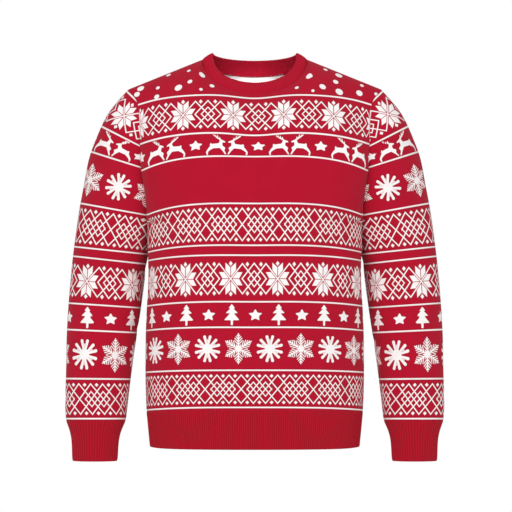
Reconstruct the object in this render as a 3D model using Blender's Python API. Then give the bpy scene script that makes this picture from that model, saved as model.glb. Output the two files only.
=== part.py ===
"""A crew-neck jumper with long set-in sleeves, open and filled out as on a wearer.

Eight knitted pieces, each a wall of cloth: front, back, two sleeves, neckband, hem rib and two cuffs.
The front faces -Y and +Z is up. The origin is on the middle of the garment, at the height where the
shoulder seams meet the neckband. Sizes are in millimetres until a point becomes a vertex.
"""

from collections import namedtuple
import math

import bmesh
import bpy
import numpy as np

MM = 0.001
GARMENT = "christmas_sweater"

# Cloth
WALL = 2.0
RIB_WALL = 1.8
NECKBAND_WALL = 3.2  # the band is folded double
RIB_HEIGHT = 0.9
SEAM_GAP = 0.3

# How finely the pieces are divided
COLUMNS = 22  # steps across a panel
SHOULDER_COLUMNS = 5  # those of them that end in each shoulder seam
BODY_STEPS = 8  # from the hem seam to the underarm
ARM_STEPS = 7  # from the underarm to the middle of the armhole, and again to the shoulder
BODY_RIBS = 6  # ribs for each step across a panel, in the hem and the neckband
CUFF_RIBS = 2  # ribs for each step round a sleeve
POINTS_PER_RIB = 2
RIBS_PER_INNER_STEP = 2

# Heights down the body. Rows hang lower at the side seams than in the middle.
HEM_SEAM = -613.7
HEM_SEAM_MIDDLE = -609.2
HEM_BOTTOM = -678.0
UNDERARM = -285.0
UNDERARM_MIDDLE = -270.0
CHEST = -174.0  # the middle of the armhole's height
CHEST_MIDDLE = -150.0
DROOP_POWER = 2.2

# Neck and shoulders
NECK_HALF_WIDTH = 92.3
SHOULDER_POWER = 0.5  # how the cloth arrives at the shoulder tip: 0.5 rolls over level, 1 runs up to an edge
SLOPE_POWER = 0.2  # how much less it rolls over beside the neck
SHOULDER_TIP = -52.0
BAND_HALF_WIDTH = 73.6
BAND_SIDE_TOP = 12.0
BAND_SWELL = 1.5  # how far the band stands out at half its height

# Cross-sections of the body are superellipses of this power, rounder at 2 and squarer above it.
BODY_POWER = 2.3
TUCK_PLACE = 0.12  # share of a half panel from the side seam, where a tucked seam makes the front bulge

BodyRow = namedtuple("BodyRow", "height half_width front_depth back_depth tuck")
BODY_ROWS = (
    BodyRow(-678.0, 182.6, 105.5, 99.0, 0.0),
    BodyRow(-612.0, 188.8, 111.0, 104.0, 0.0),
    BodyRow(-528.0, 190.8, 116.0, 108.0, 0.0),
    BodyRow(-430.0, 188.5, 120.0, 111.0, 0.5),
    BodyRow(-375.0, 187.0, 122.0, 112.0, 4.0),
    BodyRow(-336.0, 189.0, 123.5, 113.0, 8.0),
    BodyRow(-285.0, 189.0, 125.0, 115.0, 9.0),
    BodyRow(-272.0, 189.0, 125.0, 115.5, 4.0),
    BodyRow(-255.0, 190.0, 124.5, 116.5, 1.0),
    BodyRow(-193.0, 197.0, 123.0, 117.5, 0.0),
    BodyRow(-150.0, 199.5, 119.5, 115.5, 0.0),
)

ArmholeRow = namedtuple("ArmholeRow", "height reach")
ARMHOLE_ROWS = (
    ArmholeRow(-285.0, 180.0),
    ArmholeRow(-282.0, 182.5),
    ArmholeRow(-274.0, 185.5),
    ArmholeRow(-258.0, 188.0),
    ArmholeRow(-230.0, 191.5),
    ArmholeRow(-193.0, 197.0),
    ArmholeRow(-150.0, 199.5),
    ArmholeRow(-100.0, 201.5),
    ArmholeRow(-78.0, 204.0),
    ArmholeRow(-62.0, 213.0),
    ArmholeRow(-52.0, 221.0),
)

Panel = namedtuple("Panel", "side depth neck_drop neck_depth band_top band_depth armhole_depth bulge")
FRONT = Panel(-1.0, "front_depth", 62.3, 65.0, -41.0, 52.0, 52.0, 1.0)
BACK = Panel(1.0, "back_depth", 27.5, 50.0, 0.7, 46.0, 50.0, 0.0)

# A sleeve's sections, each from its outer to its inner edge, with its half depth and how far back it lies.
SleeveRow = namedtuple("SleeveRow", "outer_x outer_z inner_x inner_z half_depth back")
SLEEVE_ROWS = (
    SleeveRow(239.5, -71.5, 184.0, -289.0, 59.0, 3.0),
    SleeveRow(259.0, -97.0, 184.5, -295.0, 63.0, 7.0),
    SleeveRow(276.5, -134.0, 184.5, -303.0, 65.0, 12.0),
    SleeveRow(290.5, -172.0, 184.5, -313.0, 65.0, 17.0),
    SleeveRow(299.0, -215.0, 185.0, -325.0, 64.0, 21.0),
    SleeveRow(308.0, -262.0, 187.0, -340.0, 63.0, 24.0),
    SleeveRow(316.5, -312.0, 190.5, -359.0, 62.0, 24.0),
    SleeveRow(322.0, -365.0, 194.5, -393.0, 60.0, 22.0),
    SleeveRow(326.5, -425.0, 200.5, -438.0, 57.0, 17.0),
    SleeveRow(330.0, -486.0, 208.5, -492.0, 54.0, 10.0),
    SleeveRow(332.0, -548.0, 216.5, -550.0, 50.0, 2.0),
    SleeveRow(332.0, -602.0, 222.5, -602.0, 46.5, -4.0),
    SleeveRow(329.5, -629.0, 225.7, -629.0, 43.0, -7.0),
)

CuffRow = namedtuple("CuffRow", "height centre_x half_width half_depth back")
CUFF_ROWS = (
    CuffRow(-650.0, 278.4, 43.8, 37.0, -9.0),
    CuffRow(-701.0, 279.3, 38.5, 33.0, -11.0),
)

# The largest folds: soft troughs down the panels, leaning sideways by lean for each millimetre down.
Fold = namedtuple("Fold", "across top bottom half_width depth lean")
FRONT_FOLDS = (
    Fold(136.0, -235.0, -440.0, 24.0, 6.0, 0.03),
    Fold(-158.0, -250.0, -420.0, 26.0, 4.0, -0.05),
    Fold(-70.0, -470.0, -620.0, 34.0, 3.0, 0.02),
)
BACK_FOLDS = (
    Fold(-92.0, -270.0, -560.0, 36.0, 7.0, 0.06),
    Fold(108.0, -320.0, -600.0, 32.0, 6.0, -0.04),
    Fold(12.0, -400.0, -610.0, 40.0, 4.0, 0.02),
)

# Hollows pressed into a sleeve: turn is 0 on its inner edge, 90 at the front, 180 outside, 270 behind.
Hollow = namedtuple("Hollow", "turn height half_turn half_height depth")
SLEEVE_HOLLOWS = (
    Hollow(70.0, -385.0, 55.0, 26.0, 5.0),
    Hollow(95.0, -455.0, 60.0, 20.0, 4.0),
    Hollow(250.0, -330.0, 60.0, 30.0, 5.0),
    Hollow(120.0, -570.0, 70.0, 22.0, 3.5),
    Hollow(255.0, -520.0, 60.0, 26.0, 4.0),
)

Yarn = namedtuple("Yarn", "name colour roughness")
RED_JACQUARD = Yarn("red_jacquard_wool", (0.434, 0.013, 0.032), 0.92)
RED_RIB = Yarn("red_rib_wool", (0.402, 0.012, 0.025), 0.94)


def smooth(table, column, at):
    """The table's column at any height, on a smooth curve through its rows."""
    heights = np.array([row[0] for row in table])
    values = np.array([getattr(row, column) for row in table])
    slopes = np.gradient(values, heights)
    at = np.clip(at, heights[0], heights[-1])
    index = np.clip(np.searchsorted(heights, at) - 1, 0, len(heights) - 2)
    step = heights[index + 1] - heights[index]
    t = (at - heights[index]) / step
    start = (2 * t**3 - 3 * t**2 + 1) * values[index] + (t**3 - 2 * t**2 + t) * step * slopes[index]
    end = (3 * t**2 - 2 * t**3) * values[index + 1] + (t**3 - t**2) * step * slopes[index + 1]
    return start + end


def blend(low, high, share):
    return low + (high - low) * share


def swell(x):
    """1 at x = 0, falling smoothly to 0 at 1 on both sides."""
    return np.where(np.abs(x) < 1.0, np.cos(np.clip(x, -1.0, 1.0) * math.pi / 2) ** 2, 0.0)


def unit(vectors):
    return vectors / np.linalg.norm(vectors, axis=-1, keepdims=True)


def round_chest(columns):
    """Places across a panel, from -1 to 1, for columns spaced evenly round the chest from 0 to COLUMNS."""
    turn = np.linspace(0.0, math.pi, 1441)
    place = -np.sign(np.cos(turn)) * np.abs(np.cos(turn)) ** (2 / BODY_POWER)
    depth = np.abs(np.sin(turn)) ** (2 / BODY_POWER)
    chest = smooth(BODY_ROWS, "half_width", UNDERARM), smooth(BODY_ROWS, "front_depth", UNDERARM)
    steps = np.hypot(np.diff(place) * chest[0], np.diff(depth) * chest[1])
    length = np.concatenate([[0.0], np.cumsum(steps)])
    return np.interp(np.asarray(columns) / COLUMNS * length[-1], length, place)


def depth_share(place):
    """How deep a cross-section is at a place across it, from 0 at its sides to 1 in the middle."""
    return (1 - np.abs(place) ** BODY_POWER) ** (1 / BODY_POWER)


def folded(x, y, z, side, folds, fade):
    """The depths y with the folds pressed in, fading towards the side seams."""
    for fold in folds:
        middle = (fold.top + fold.bottom) / 2
        half = (fold.top - fold.bottom) / 2
        centre = fold.across + fold.lean * (middle - z)
        reach = np.exp(-(((x - centre) / fold.half_width) ** 2)) * swell((z - middle) / half)
        y = y - side * fold.depth * reach * fade
    return y


def top_edge(panel):
    """Place across, height and depth of a panel's top edge, and how steeply its cloth arrives there."""
    tip = ARMHOLE_ROWS[-1].reach
    column = np.arange(COLUMNS + 1)
    from_side = np.minimum(column, COLUMNS - column) / SHOULDER_COLUMNS
    turn = (column - SHOULDER_COLUMNS) / (COLUMNS - 2 * SHOULDER_COLUMNS) * math.pi
    in_neck = from_side > 1
    rise = np.where(in_neck, np.sin(turn), 0.0)
    neck_x = -NECK_HALF_WIDTH * np.cos(turn)
    shoulder_x = blend(tip, NECK_HALF_WIDTH, from_side) * np.sign(column - COLUMNS / 2)
    place = np.where(in_neck, neck_x, shoulder_x) / tip
    height = np.where(in_neck, -panel.neck_drop * rise, SHOULDER_TIP * (1 - from_side))
    power = SHOULDER_POWER + SLOPE_POWER * np.minimum(from_side, 1.0)
    return place, height, panel.neck_depth * rise, blend(power, 1.0, rise)


def panel_skin(panel, folds):
    """Outer points of the front or the back: rows from the hem seam up, columns from -X to +X."""
    column = np.arange(COLUMNS + 1)
    place = round_chest(column)
    from_seam = np.minimum(column, COLUMNS - column) / (COLUMNS / 2) / TUCK_PLACE
    bulge = panel.bulge * np.sign(place) * from_seam * np.exp(1 - from_seam)
    droop = np.abs(place) ** DROOP_POWER
    rows = []
    for step in range(BODY_STEPS + ARM_STEPS + 1):
        if step <= BODY_STEPS:
            middle = blend(HEM_SEAM_MIDDLE, UNDERARM_MIDDLE, step / BODY_STEPS)
            edge = blend(HEM_SEAM, UNDERARM, step / BODY_STEPS)
            tuck = smooth(BODY_ROWS, "tuck", edge)
            reach = smooth(BODY_ROWS, "half_width", edge) - tuck
            edge_depth = 0.0
        else:
            share = (step - BODY_STEPS) / ARM_STEPS
            turn = share * math.pi / 2
            middle = blend(UNDERARM_MIDDLE, CHEST_MIDDLE, share)
            edge = blend(CHEST, UNDERARM, math.cos(turn))
            tuck = smooth(BODY_ROWS, "tuck", edge)
            reach = smooth(ARMHOLE_ROWS, "reach", edge)
            edge_depth = panel.armhole_depth * math.sin(turn)
        x = place * reach + bulge * tuck
        z = blend(middle, edge, droop)
        y = blend(edge_depth, smooth(BODY_ROWS, panel.depth, middle), depth_share(place))
        rows.append((x, y, z))
    top_place, top_height, top_depth, power = top_edge(panel)
    base_depth, base_height = rows[-1][1], rows[-1][2]
    for step in range(1, ARM_STEPS + 1):
        rise = math.sin(step / ARM_STEPS * math.pi / 2)
        reach = smooth(ARMHOLE_ROWS, "reach", blend(CHEST, SHOULDER_TIP, rise))
        x = blend(place, top_place, rise) * reach
        z = blend(base_height, top_height, rise)
        y = blend(top_depth, base_depth, max(1 - rise**2, 0.0) ** power)
        rows.append((x, y, z))
    x, y, z = (np.array([row[axis] for row in rows]) for axis in range(3))
    y = folded(x, panel.side * y, z, panel.side, folds, depth_share(place))
    return np.stack([x, y, z], axis=-1)


def sleeve_skin(front, back, column, side):
    """Outer points of a sleeve: rings from the armhole to the cuff, from the underarm round by the front."""
    up = front[BODY_STEPS:, column]
    down = back[-2 : BODY_STEPS - 1 : -1, column]
    rings = [np.concatenate([up, down])]
    turn = np.linspace(0.0, 2 * math.pi, 4 * ARM_STEPS + 1)
    for row in SLEEVE_ROWS:
        outward = (1 - np.cos(turn)) / 2
        x = blend(row.inner_x, row.outer_x, outward)
        z = blend(row.inner_z, row.outer_z, outward)
        y = row.back - row.half_depth * np.sin(turn)
        centre = np.array([(row.inner_x + row.outer_x) / 2, row.back, (row.inner_z + row.outer_z) / 2])
        ring = np.stack([x, y, z], axis=-1)
        pressed = sum(
            hollow.depth
            * swell((z - hollow.height) / (2 * hollow.half_height))
            * swell((np.degrees(turn) - hollow.turn) / (2 * hollow.half_turn))
            for hollow in SLEEVE_HOLLOWS
        )
        ring -= unit(ring - centre) * pressed[:, None]
        rings.append(ring * np.array([side, 1.0, 1.0]))
    return np.array(rings)


def normals_of(points, closed):
    """Outward unit normals of a grid of points; a closed grid's last column repeats its first."""
    down = np.gradient(points, axis=0)
    if closed:
        ring = np.concatenate([points[:, -2:-1], points, points[:, 1:2]], axis=1)
        across = (ring[:, 2:] - ring[:, :-2]) / 2
    else:
        across = np.gradient(points, axis=1)
    return unit(np.cross(across, down))


def places(points):
    """A name for each point, the same for points that meet at a seam."""
    return [tuple(point) for point in np.round(points.reshape(-1, 3), 2)]


def share_normals(skins, normals, seams):
    """Gives points that meet at a seam one normal, so that the walls of their pieces meet edge to edge.

    Round each of the closed seams the normals are then eased, so that they turn evenly.
    """
    shared = {}
    for name, points in skins.items():
        for place, normal in zip(places(points), normals[name].reshape(-1, 3)):
            shared[place] = shared.get(place, 0.0) + normal
    for seam in seams:
        ring = unit(np.array([shared[place] for place in places(seam)]))
        eased = np.roll(ring, 1, axis=0) + ring + np.roll(ring, -1, axis=0)
        shared.update(zip(places(seam), eased))
    for name, points in skins.items():
        normals[name] = unit(np.array([shared[place] for place in places(points)])).reshape(points.shape)


def across_seam(ring, normals, inward):
    """Moves from a loop of seam points, square to it and to its normals: half the gap between two pieces."""
    forward = unit(np.roll(ring, -1, axis=0) - ring)
    after = np.cross(normals, forward)
    before = np.cross(normals, np.roll(forward, 1, axis=0))
    turned = np.maximum(1 + np.sum(before * after, axis=-1, keepdims=True), 0.5)
    move = (before + after) / turned * SEAM_GAP / 2
    return move * np.sign(np.sum(move * inward))


def drawn_back(outer, normals, closed):
    """The outer points with their seam edges moved in by half the gap between two pieces."""
    moved = outer.copy()
    if closed:
        for edge, next_row in ((0, 1), (-1, -2)):
            inward = outer[next_row] - outer[edge]
            moved[edge] += across_seam(outer[edge], normals[edge], inward)
        return moved
    rows, columns = outer.shape[:2]
    around = (
        [(0, column) for column in range(columns)]
        + [(row, columns - 1) for row in range(1, rows - 1)]
        + [(rows - 1, column) for column in reversed(range(columns))]
        + [(row, 0) for row in reversed(range(1, rows - 1))]
    )
    row, column = (np.array(place) for place in zip(*around))
    inward = outer[rows // 2, columns // 2] - outer[row, column]
    moved[row, column] += across_seam(outer[row, column], normals[row, column], inward)
    return moved


def skin(bm, points, closed):
    """A skin of quads over a grid of points, as rows of vertices; a closed one joins its ends."""
    rows, columns = points.shape[:2]
    made = bmesh.ops.create_grid(bm, x_segments=columns - 1, y_segments=rows - 1, size=1.0)
    for vert, point in zip(made["verts"], points.reshape(-1, 3)):
        vert.co = point * MM
    grid = [made["verts"][row * columns : (row + 1) * columns] for row in range(rows)]
    if closed:
        for low, high in zip(grid, grid[1:]):
            bm.faces.new((low[-1], low[0], high[0], high[-1]))
    return grid


def border(grid):
    """The vertices round the edge of an open skin, in order."""
    right = [row[-1] for row in grid[1:-1]]
    left = [row[0] for row in grid[1:-1]]
    return grid[0] + right + grid[-1][::-1] + left[::-1]


def rim(bm, outer, inner):
    """Closes the edge between an outer and an inner loop, which may have fewer points."""
    step = len(outer) // len(inner)
    for index, corner in enumerate(inner):
        following = inner[(index + 1) % len(inner)]
        edge = [outer[(index * step + offset) % len(outer)] for offset in range(step + 1)]
        bm.faces.new((*edge, following, corner))


def cloth(name, outer, inner, closed, yarn, collection):
    """One closed piece of cloth between an outer and an inner skin."""
    bm = bmesh.new()
    outside = skin(bm, outer, closed)
    inside = skin(bm, inner, closed)
    if closed:
        rim(bm, outside[0], inside[0])
        rim(bm, outside[-1], inside[-1])
    else:
        rim(bm, border(outside), border(inside))
    bmesh.ops.recalc_face_normals(bm, faces=bm.faces)
    mesh = bpy.data.meshes.new(name)
    bm.to_mesh(mesh)
    bm.free()
    mesh.shade_smooth()
    mesh.set_sharp_from_angle(angle=math.radians(50))
    mesh.materials.append(material_of(yarn))
    collection.objects.link(bpy.data.objects.new(name, mesh))


def material_of(yarn):
    material = bpy.data.materials.get(yarn.name) or bpy.data.materials.new(yarn.name)
    material.use_nodes = True
    shader = material.node_tree.nodes["Principled BSDF"]
    shader.inputs["Base Color"].default_value = (*yarn.colour, 1.0)
    shader.inputs["Roughness"].default_value = yarn.roughness
    shader.inputs["Metallic"].default_value = 0.0
    return material


def plain_piece(name, points, normals, closed, collection):
    if closed:
        points, normals = points[:, :-1], normals[:, :-1]
    outer = drawn_back(points, normals, closed)
    cloth(name, outer, outer - WALL * normals, closed, RED_JACQUARD, collection)


def divided(ring, parts):
    """A closed ring with each of its straight sides divided, so that a rib piece follows its panel's corners."""
    share = (np.arange(parts) / parts)[None, :, None]
    return blend(ring[:-1, None], ring[1:, None], share).reshape(-1, 3)


def ribbed_piece(name, seam, seam_normals, rings, ribs, wall, collection):
    """A tube of rib knit from its seam through plain rings, with a ridge at every second outer point."""
    parts = ribs * POINTS_PER_RIB
    points = np.array([divided(seam, parts), *rings])
    points = np.concatenate([points, points[:, :1]], axis=1)
    normals = normals_of(points, closed=True)
    if np.sum(normals[0, 0] * seam_normals[0]) < 0:
        normals = -normals
    normals[0, :-1] = unit(divided(seam_normals, parts))
    points, normals = points[:, :-1], normals[:, :-1]
    points[0] += across_seam(points[0], normals[0], points[1] - points[0])
    ridge = (np.arange(points.shape[1]) % POINTS_PER_RIB) * RIB_HEIGHT
    outer = points + normals * ridge[None, :, None]
    inner = (points - wall * normals)[:, :: POINTS_PER_RIB * RIBS_PER_INNER_STEP]
    cloth(name, outer, inner, True, RED_RIB, collection)


def body_ring(height, parts):
    """A plain ring round the body, from the -X side seam by the front, with parts points for each column."""
    column = np.arange(COLUMNS * parts) / parts
    place = round_chest(column)
    x = place * smooth(BODY_ROWS, "half_width", height)
    front = -depth_share(place) * smooth(BODY_ROWS, "front_depth", height)
    back = depth_share(place) * smooth(BODY_ROWS, "back_depth", height)
    z = np.full_like(x, height)
    return np.concatenate([np.stack([x, front, z], axis=-1), np.stack([-x, back, z], axis=-1)])


def band_ring(share, parts):
    """A ring of the neckband, from its seam at 0 to its top at 1, from the -X shoulder by the front."""
    turn = np.arange((COLUMNS - 2 * SHOULDER_COLUMNS) * parts) / parts
    turn = turn / (COLUMNS - 2 * SHOULDER_COLUMNS) * math.pi
    swollen = BAND_SWELL * math.sin(share * math.pi)
    halves = []
    for panel, way in ((FRONT, -1.0), (BACK, 1.0)):
        x = way * blend(NECK_HALF_WIDTH, BAND_HALF_WIDTH, share) * np.cos(turn)
        depth = (blend(panel.neck_depth, panel.band_depth, share) + swollen) * np.sin(turn)
        low = -panel.neck_drop * np.sin(turn)
        high = BAND_SIDE_TOP + (panel.band_top - BAND_SIDE_TOP) * np.sin(turn)
        z = blend(low, high, share) + swollen * np.abs(np.cos(turn))
        halves.append(np.stack([x, panel.side * depth, z], axis=-1))
    return np.concatenate(halves)


def cuff_ring(row, side, parts):
    """A ring of a cuff, from its inner edge by the front."""
    turn = np.arange(4 * ARM_STEPS * parts) / (4 * ARM_STEPS * parts) * 2 * math.pi
    x = row.centre_x - row.half_width * np.cos(turn)
    y = row.back - row.half_depth * np.sin(turn)
    return np.stack([side * x, y, np.full_like(x, row.height)], axis=-1)


def seam_ring(front, back):
    """A closed ring of a front edge followed by its back edge in reverse."""
    return np.concatenate([front, back[-2::-1]])


def main():
    for old in list(bpy.data.objects):
        bpy.data.objects.remove(old)
    collection = bpy.data.collections.new(GARMENT)
    bpy.context.scene.collection.children.link(collection)

    front = panel_skin(FRONT, FRONT_FOLDS)
    back = panel_skin(BACK, BACK_FOLDS)
    sleeves = {"sleeve_left": (0, -1.0), "sleeve_right": (-1, 1.0)}
    skins = {"front": front, "back": back}
    normals = {"front": normals_of(front, False), "back": -normals_of(back, False)}
    for name, (column, side) in sleeves.items():
        skins[name] = sleeve_skin(front, back, column, side)
        normals[name] = -side * normals_of(skins[name], True)
    neck_columns = slice(SHOULDER_COLUMNS, COLUMNS - SHOULDER_COLUMNS + 1)
    neck = seam_ring(front[-1, neck_columns], back[-1, neck_columns])
    seams = [neck[:-1]] + [skins[name][0, :-1] for name in sleeves]
    share_normals(skins, normals, seams)
    for name, points in skins.items():
        plain_piece(name, points, normals[name], name in sleeves, collection)

    hem = seam_ring(front[0], back[0])
    hem_normals = seam_ring(normals["front"][0], normals["back"][0])
    parts = BODY_RIBS * POINTS_PER_RIB
    bottom = [body_ring(HEM_BOTTOM, parts)]
    ribbed_piece("hem_rib", hem, hem_normals, bottom, BODY_RIBS, RIB_WALL, collection)

    neck_normals = seam_ring(normals["front"][-1, neck_columns], normals["back"][-1, neck_columns])
    rings = [band_ring(share, parts) for share in (0.5, 1.0)]
    ribbed_piece("neckband", neck, neck_normals, rings, BODY_RIBS, NECKBAND_WALL, collection)

    for name, (_, side) in sleeves.items():
        wrist, wrist_normals = skins[name][-1], normals[name][-1]
        rings = [cuff_ring(row, side, CUFF_RIBS * POINTS_PER_RIB) for row in CUFF_ROWS]
        cuff = name.replace("sleeve", "cuff")
        ribbed_piece(cuff, wrist, wrist_normals, rings, CUFF_RIBS, RIB_WALL, collection)


main()
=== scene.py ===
"""Dresses the hollow christmas jumper: a two-colour jacquard knit with ribbed neckband, hem and cuffs.

The front faces -Y and +Z is up. Shapes are worked out in millimetres and become metres in a mesh.
Every cloth piece carries a point attribute, "stitch": millimetres across its wales, millimetres up its
courses, and how deep the point lies inside a white figure or, in a rib, how high it lies on a ridge. The
materials knit from it.
"""

from collections import namedtuple
import math

import bmesh
import bpy
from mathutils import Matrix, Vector
import numpy as np


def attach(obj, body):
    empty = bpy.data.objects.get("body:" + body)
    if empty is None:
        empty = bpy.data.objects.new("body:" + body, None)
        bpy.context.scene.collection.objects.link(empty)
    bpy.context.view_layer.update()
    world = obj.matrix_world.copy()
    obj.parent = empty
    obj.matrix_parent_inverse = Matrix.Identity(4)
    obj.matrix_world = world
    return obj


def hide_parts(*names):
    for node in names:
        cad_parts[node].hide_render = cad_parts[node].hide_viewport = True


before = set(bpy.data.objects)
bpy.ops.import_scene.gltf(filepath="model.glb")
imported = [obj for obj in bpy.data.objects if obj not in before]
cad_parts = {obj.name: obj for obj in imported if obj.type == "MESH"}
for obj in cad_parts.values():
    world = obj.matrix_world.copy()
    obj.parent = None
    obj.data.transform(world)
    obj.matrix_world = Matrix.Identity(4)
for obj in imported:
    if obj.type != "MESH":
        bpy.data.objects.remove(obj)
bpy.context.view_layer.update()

bl_info = {
    "name": "Christmas jumper",
    "version": (1, 0, 0),
    "blender": (4, 5, 0),
    "location": "3D View > Sidebar > Jumper",
    "description": "Knits a hollow crew-neck jumper with a christmas pattern, piece by piece",
    "category": "Object",
}

MM = 0.001
BODY = "root"

# Shape of the garment, in millimetres
COLUMNS = 22
SHOULDER_COLUMNS = 5
BODY_STEPS = 8
ARM_STEPS = 7
TOP_STEP = BODY_STEPS + 2 * ARM_STEPS
HEM_SEAM = -613.7
HEM_SEAM_MIDDLE = -609.2
HEM_BOTTOM = -678.0
UNDERARM = -285.0
UNDERARM_MIDDLE = -270.0
CHEST = -174.0
CHEST_MIDDLE = -150.0
DROOP_POWER = 2.2
NECK_HALF_WIDTH = 92.3
SHOULDER_POWER = 0.5
SLOPE_POWER = 0.2
SHOULDER_TIP = -52.0
BAND_HALF_WIDTH = 73.6
BAND_SIDE_TOP = 12.0
BAND_SWELL = 1.5
BODY_POWER = 2.3
TUCK_PLACE = 0.12
SEAM_GAP = 0.06
HEM_CORNER_RISE = 1.75  # how far the hem's edge rises at the sides
BAND_FULLNESS = 0.82  # below 1 the front of the neckband hangs fuller than a half round

BodyRow = namedtuple("BodyRow", "height half_width front_depth back_depth tuck")
BODY_ROWS = (
    BodyRow(-678.0, 182.6, 105.5, 99.0, 0.0),
    BodyRow(-612.0, 188.8, 111.0, 104.0, 0.0),
    BodyRow(-528.0, 190.8, 116.0, 108.0, 0.0),
    BodyRow(-430.0, 188.5, 120.0, 111.0, 0.5),
    BodyRow(-375.0, 187.0, 122.0, 112.0, 4.0),
    BodyRow(-336.0, 189.0, 123.5, 113.0, 8.0),
    BodyRow(-285.0, 189.0, 125.0, 115.0, 9.0),
    BodyRow(-272.0, 189.0, 125.0, 115.5, 4.0),
    BodyRow(-255.0, 190.0, 124.5, 116.5, 1.0),
    BodyRow(-193.0, 197.0, 123.0, 117.5, 0.0),
    BodyRow(-150.0, 199.5, 119.5, 115.5, 0.0),
)

ArmholeRow = namedtuple("ArmholeRow", "height reach")
ARMHOLE_ROWS = (
    ArmholeRow(-285.0, 180.0),
    ArmholeRow(-282.0, 182.5),
    ArmholeRow(-274.0, 185.5),
    ArmholeRow(-258.0, 188.0),
    ArmholeRow(-230.0, 191.5),
    ArmholeRow(-193.0, 197.0),
    ArmholeRow(-150.0, 199.5),
    ArmholeRow(-100.0, 201.5),
    ArmholeRow(-78.0, 204.0),
    ArmholeRow(-62.0, 213.0),
    ArmholeRow(-52.0, 221.0),
)

Panel = namedtuple("Panel", "side depth neck_drop neck_depth band_top band_depth armhole_depth bulge")
FRONT = Panel(-1.0, "front_depth", 62.3, 65.0, -41.0, 52.0, 52.0, 1.0)
BACK = Panel(1.0, "back_depth", 27.5, 50.0, 0.7, 46.0, 50.0, 0.0)

SleeveRow = namedtuple("SleeveRow", "outer_x outer_z inner_x inner_z half_depth back")
SLEEVE_ROWS = (
    SleeveRow(239.5, -71.5, 184.0, -289.0, 59.0, 3.0),
    SleeveRow(259.0, -97.0, 184.5, -295.0, 63.0, 7.0),
    SleeveRow(276.5, -134.0, 184.5, -303.0, 65.0, 12.0),
    SleeveRow(290.5, -172.0, 184.5, -313.0, 65.0, 17.0),
    SleeveRow(299.0, -215.0, 185.0, -325.0, 64.0, 21.0),
    SleeveRow(308.0, -262.0, 187.0, -340.0, 63.0, 24.0),
    SleeveRow(316.5, -312.0, 190.5, -359.0, 62.0, 24.0),
    SleeveRow(322.0, -365.0, 194.5, -393.0, 60.0, 22.0),
    SleeveRow(326.5, -425.0, 200.5, -438.0, 57.0, 17.0),
    SleeveRow(330.0, -486.0, 208.5, -492.0, 54.0, 10.0),
    SleeveRow(332.0, -548.0, 216.5, -550.0, 50.0, 2.0),
    SleeveRow(332.0, -602.0, 222.5, -602.0, 46.5, -4.0),
    SleeveRow(329.5, -629.0, 225.7, -629.0, 43.0, -7.0),
)

CuffRow = namedtuple("CuffRow", "height centre_x half_width half_depth back")
CUFF_ROWS = (
    CuffRow(-650.0, 278.4, 43.8, 37.0, -9.0),
    CuffRow(-701.0, 279.3, 38.5, 33.0, -11.0),
)

Fold = namedtuple("Fold", "across top bottom half_width depth lean")
FRONT_FOLDS = (
    Fold(136.0, -235.0, -440.0, 24.0, 6.0, 0.03),
    Fold(-158.0, -250.0, -420.0, 26.0, 4.0, -0.05),
    Fold(-70.0, -470.0, -620.0, 34.0, 3.0, 0.02),
)
BACK_FOLDS = (
    Fold(-92.0, -270.0, -560.0, 36.0, 7.0, 0.06),
    Fold(108.0, -320.0, -600.0, 32.0, 6.0, -0.04),
    Fold(12.0, -400.0, -610.0, 40.0, 4.0, 0.02),
)

Hollow = namedtuple("Hollow", "turn height half_turn half_height depth")
SLEEVE_HOLLOWS = (
    Hollow(70.0, -385.0, 55.0, 26.0, 5.0),
    Hollow(95.0, -455.0, 60.0, 20.0, 4.0),
    Hollow(250.0, -330.0, 60.0, 30.0, 5.0),
    Hollow(120.0, -570.0, 70.0, 22.0, 3.5),
    Hollow(255.0, -520.0, 60.0, 26.0, 4.0),
)

# Smaller creases: soft troughs, or ridges where the depth is below 0. Each runs along its length, turned
# from upright by its lean in degrees, towards +X at its top.
Crease = namedtuple("Crease", "across height half_length half_width depth lean")
FRONT_CREASES = (
    Crease(168.0, -318.0, 62.0, 8.0, 2.6, -24.0),
    Crease(152.0, -352.0, 70.0, 9.0, -1.8, -30.0),
    Crease(-170.0, -312.0, 58.0, 8.0, 2.4, 22.0),
    Crease(-150.0, -350.0, 74.0, 10.0, -1.6, 31.0),
    Crease(-166.0, -575.0, 40.0, 9.0, 1.8, -10.0),
    Crease(118.0, -584.0, 34.0, 11.0, 1.5, 12.0),
    Crease(162.0, -566.0, 44.0, 8.0, 1.9, 8.0),
    Crease(-178.0, -222.0, 44.0, 7.0, 1.8, 12.0),
    Crease(180.0, -226.0, 40.0, 7.0, 1.6, -14.0),
)
BACK_CREASES = (
    Crease(160.0, -322.0, 66.0, 9.0, 2.8, -26.0),
    Crease(-164.0, -330.0, 72.0, 9.0, 3.0, 24.0),
    Crease(-128.0, -372.0, 80.0, 12.0, -2.0, 34.0),
    Crease(60.0, -150.0, 70.0, 22.0, 2.2, 82.0),
    Crease(-48.0, -212.0, 84.0, 24.0, 2.6, 78.0),
    Crease(-150.0, -570.0, 46.0, 10.0, 2.0, 10.0),
    Crease(58.0, -580.0, 36.0, 12.0, 1.8, -12.0),
    Crease(150.0, -562.0, 52.0, 9.0, 2.2, -6.0),
)

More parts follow.
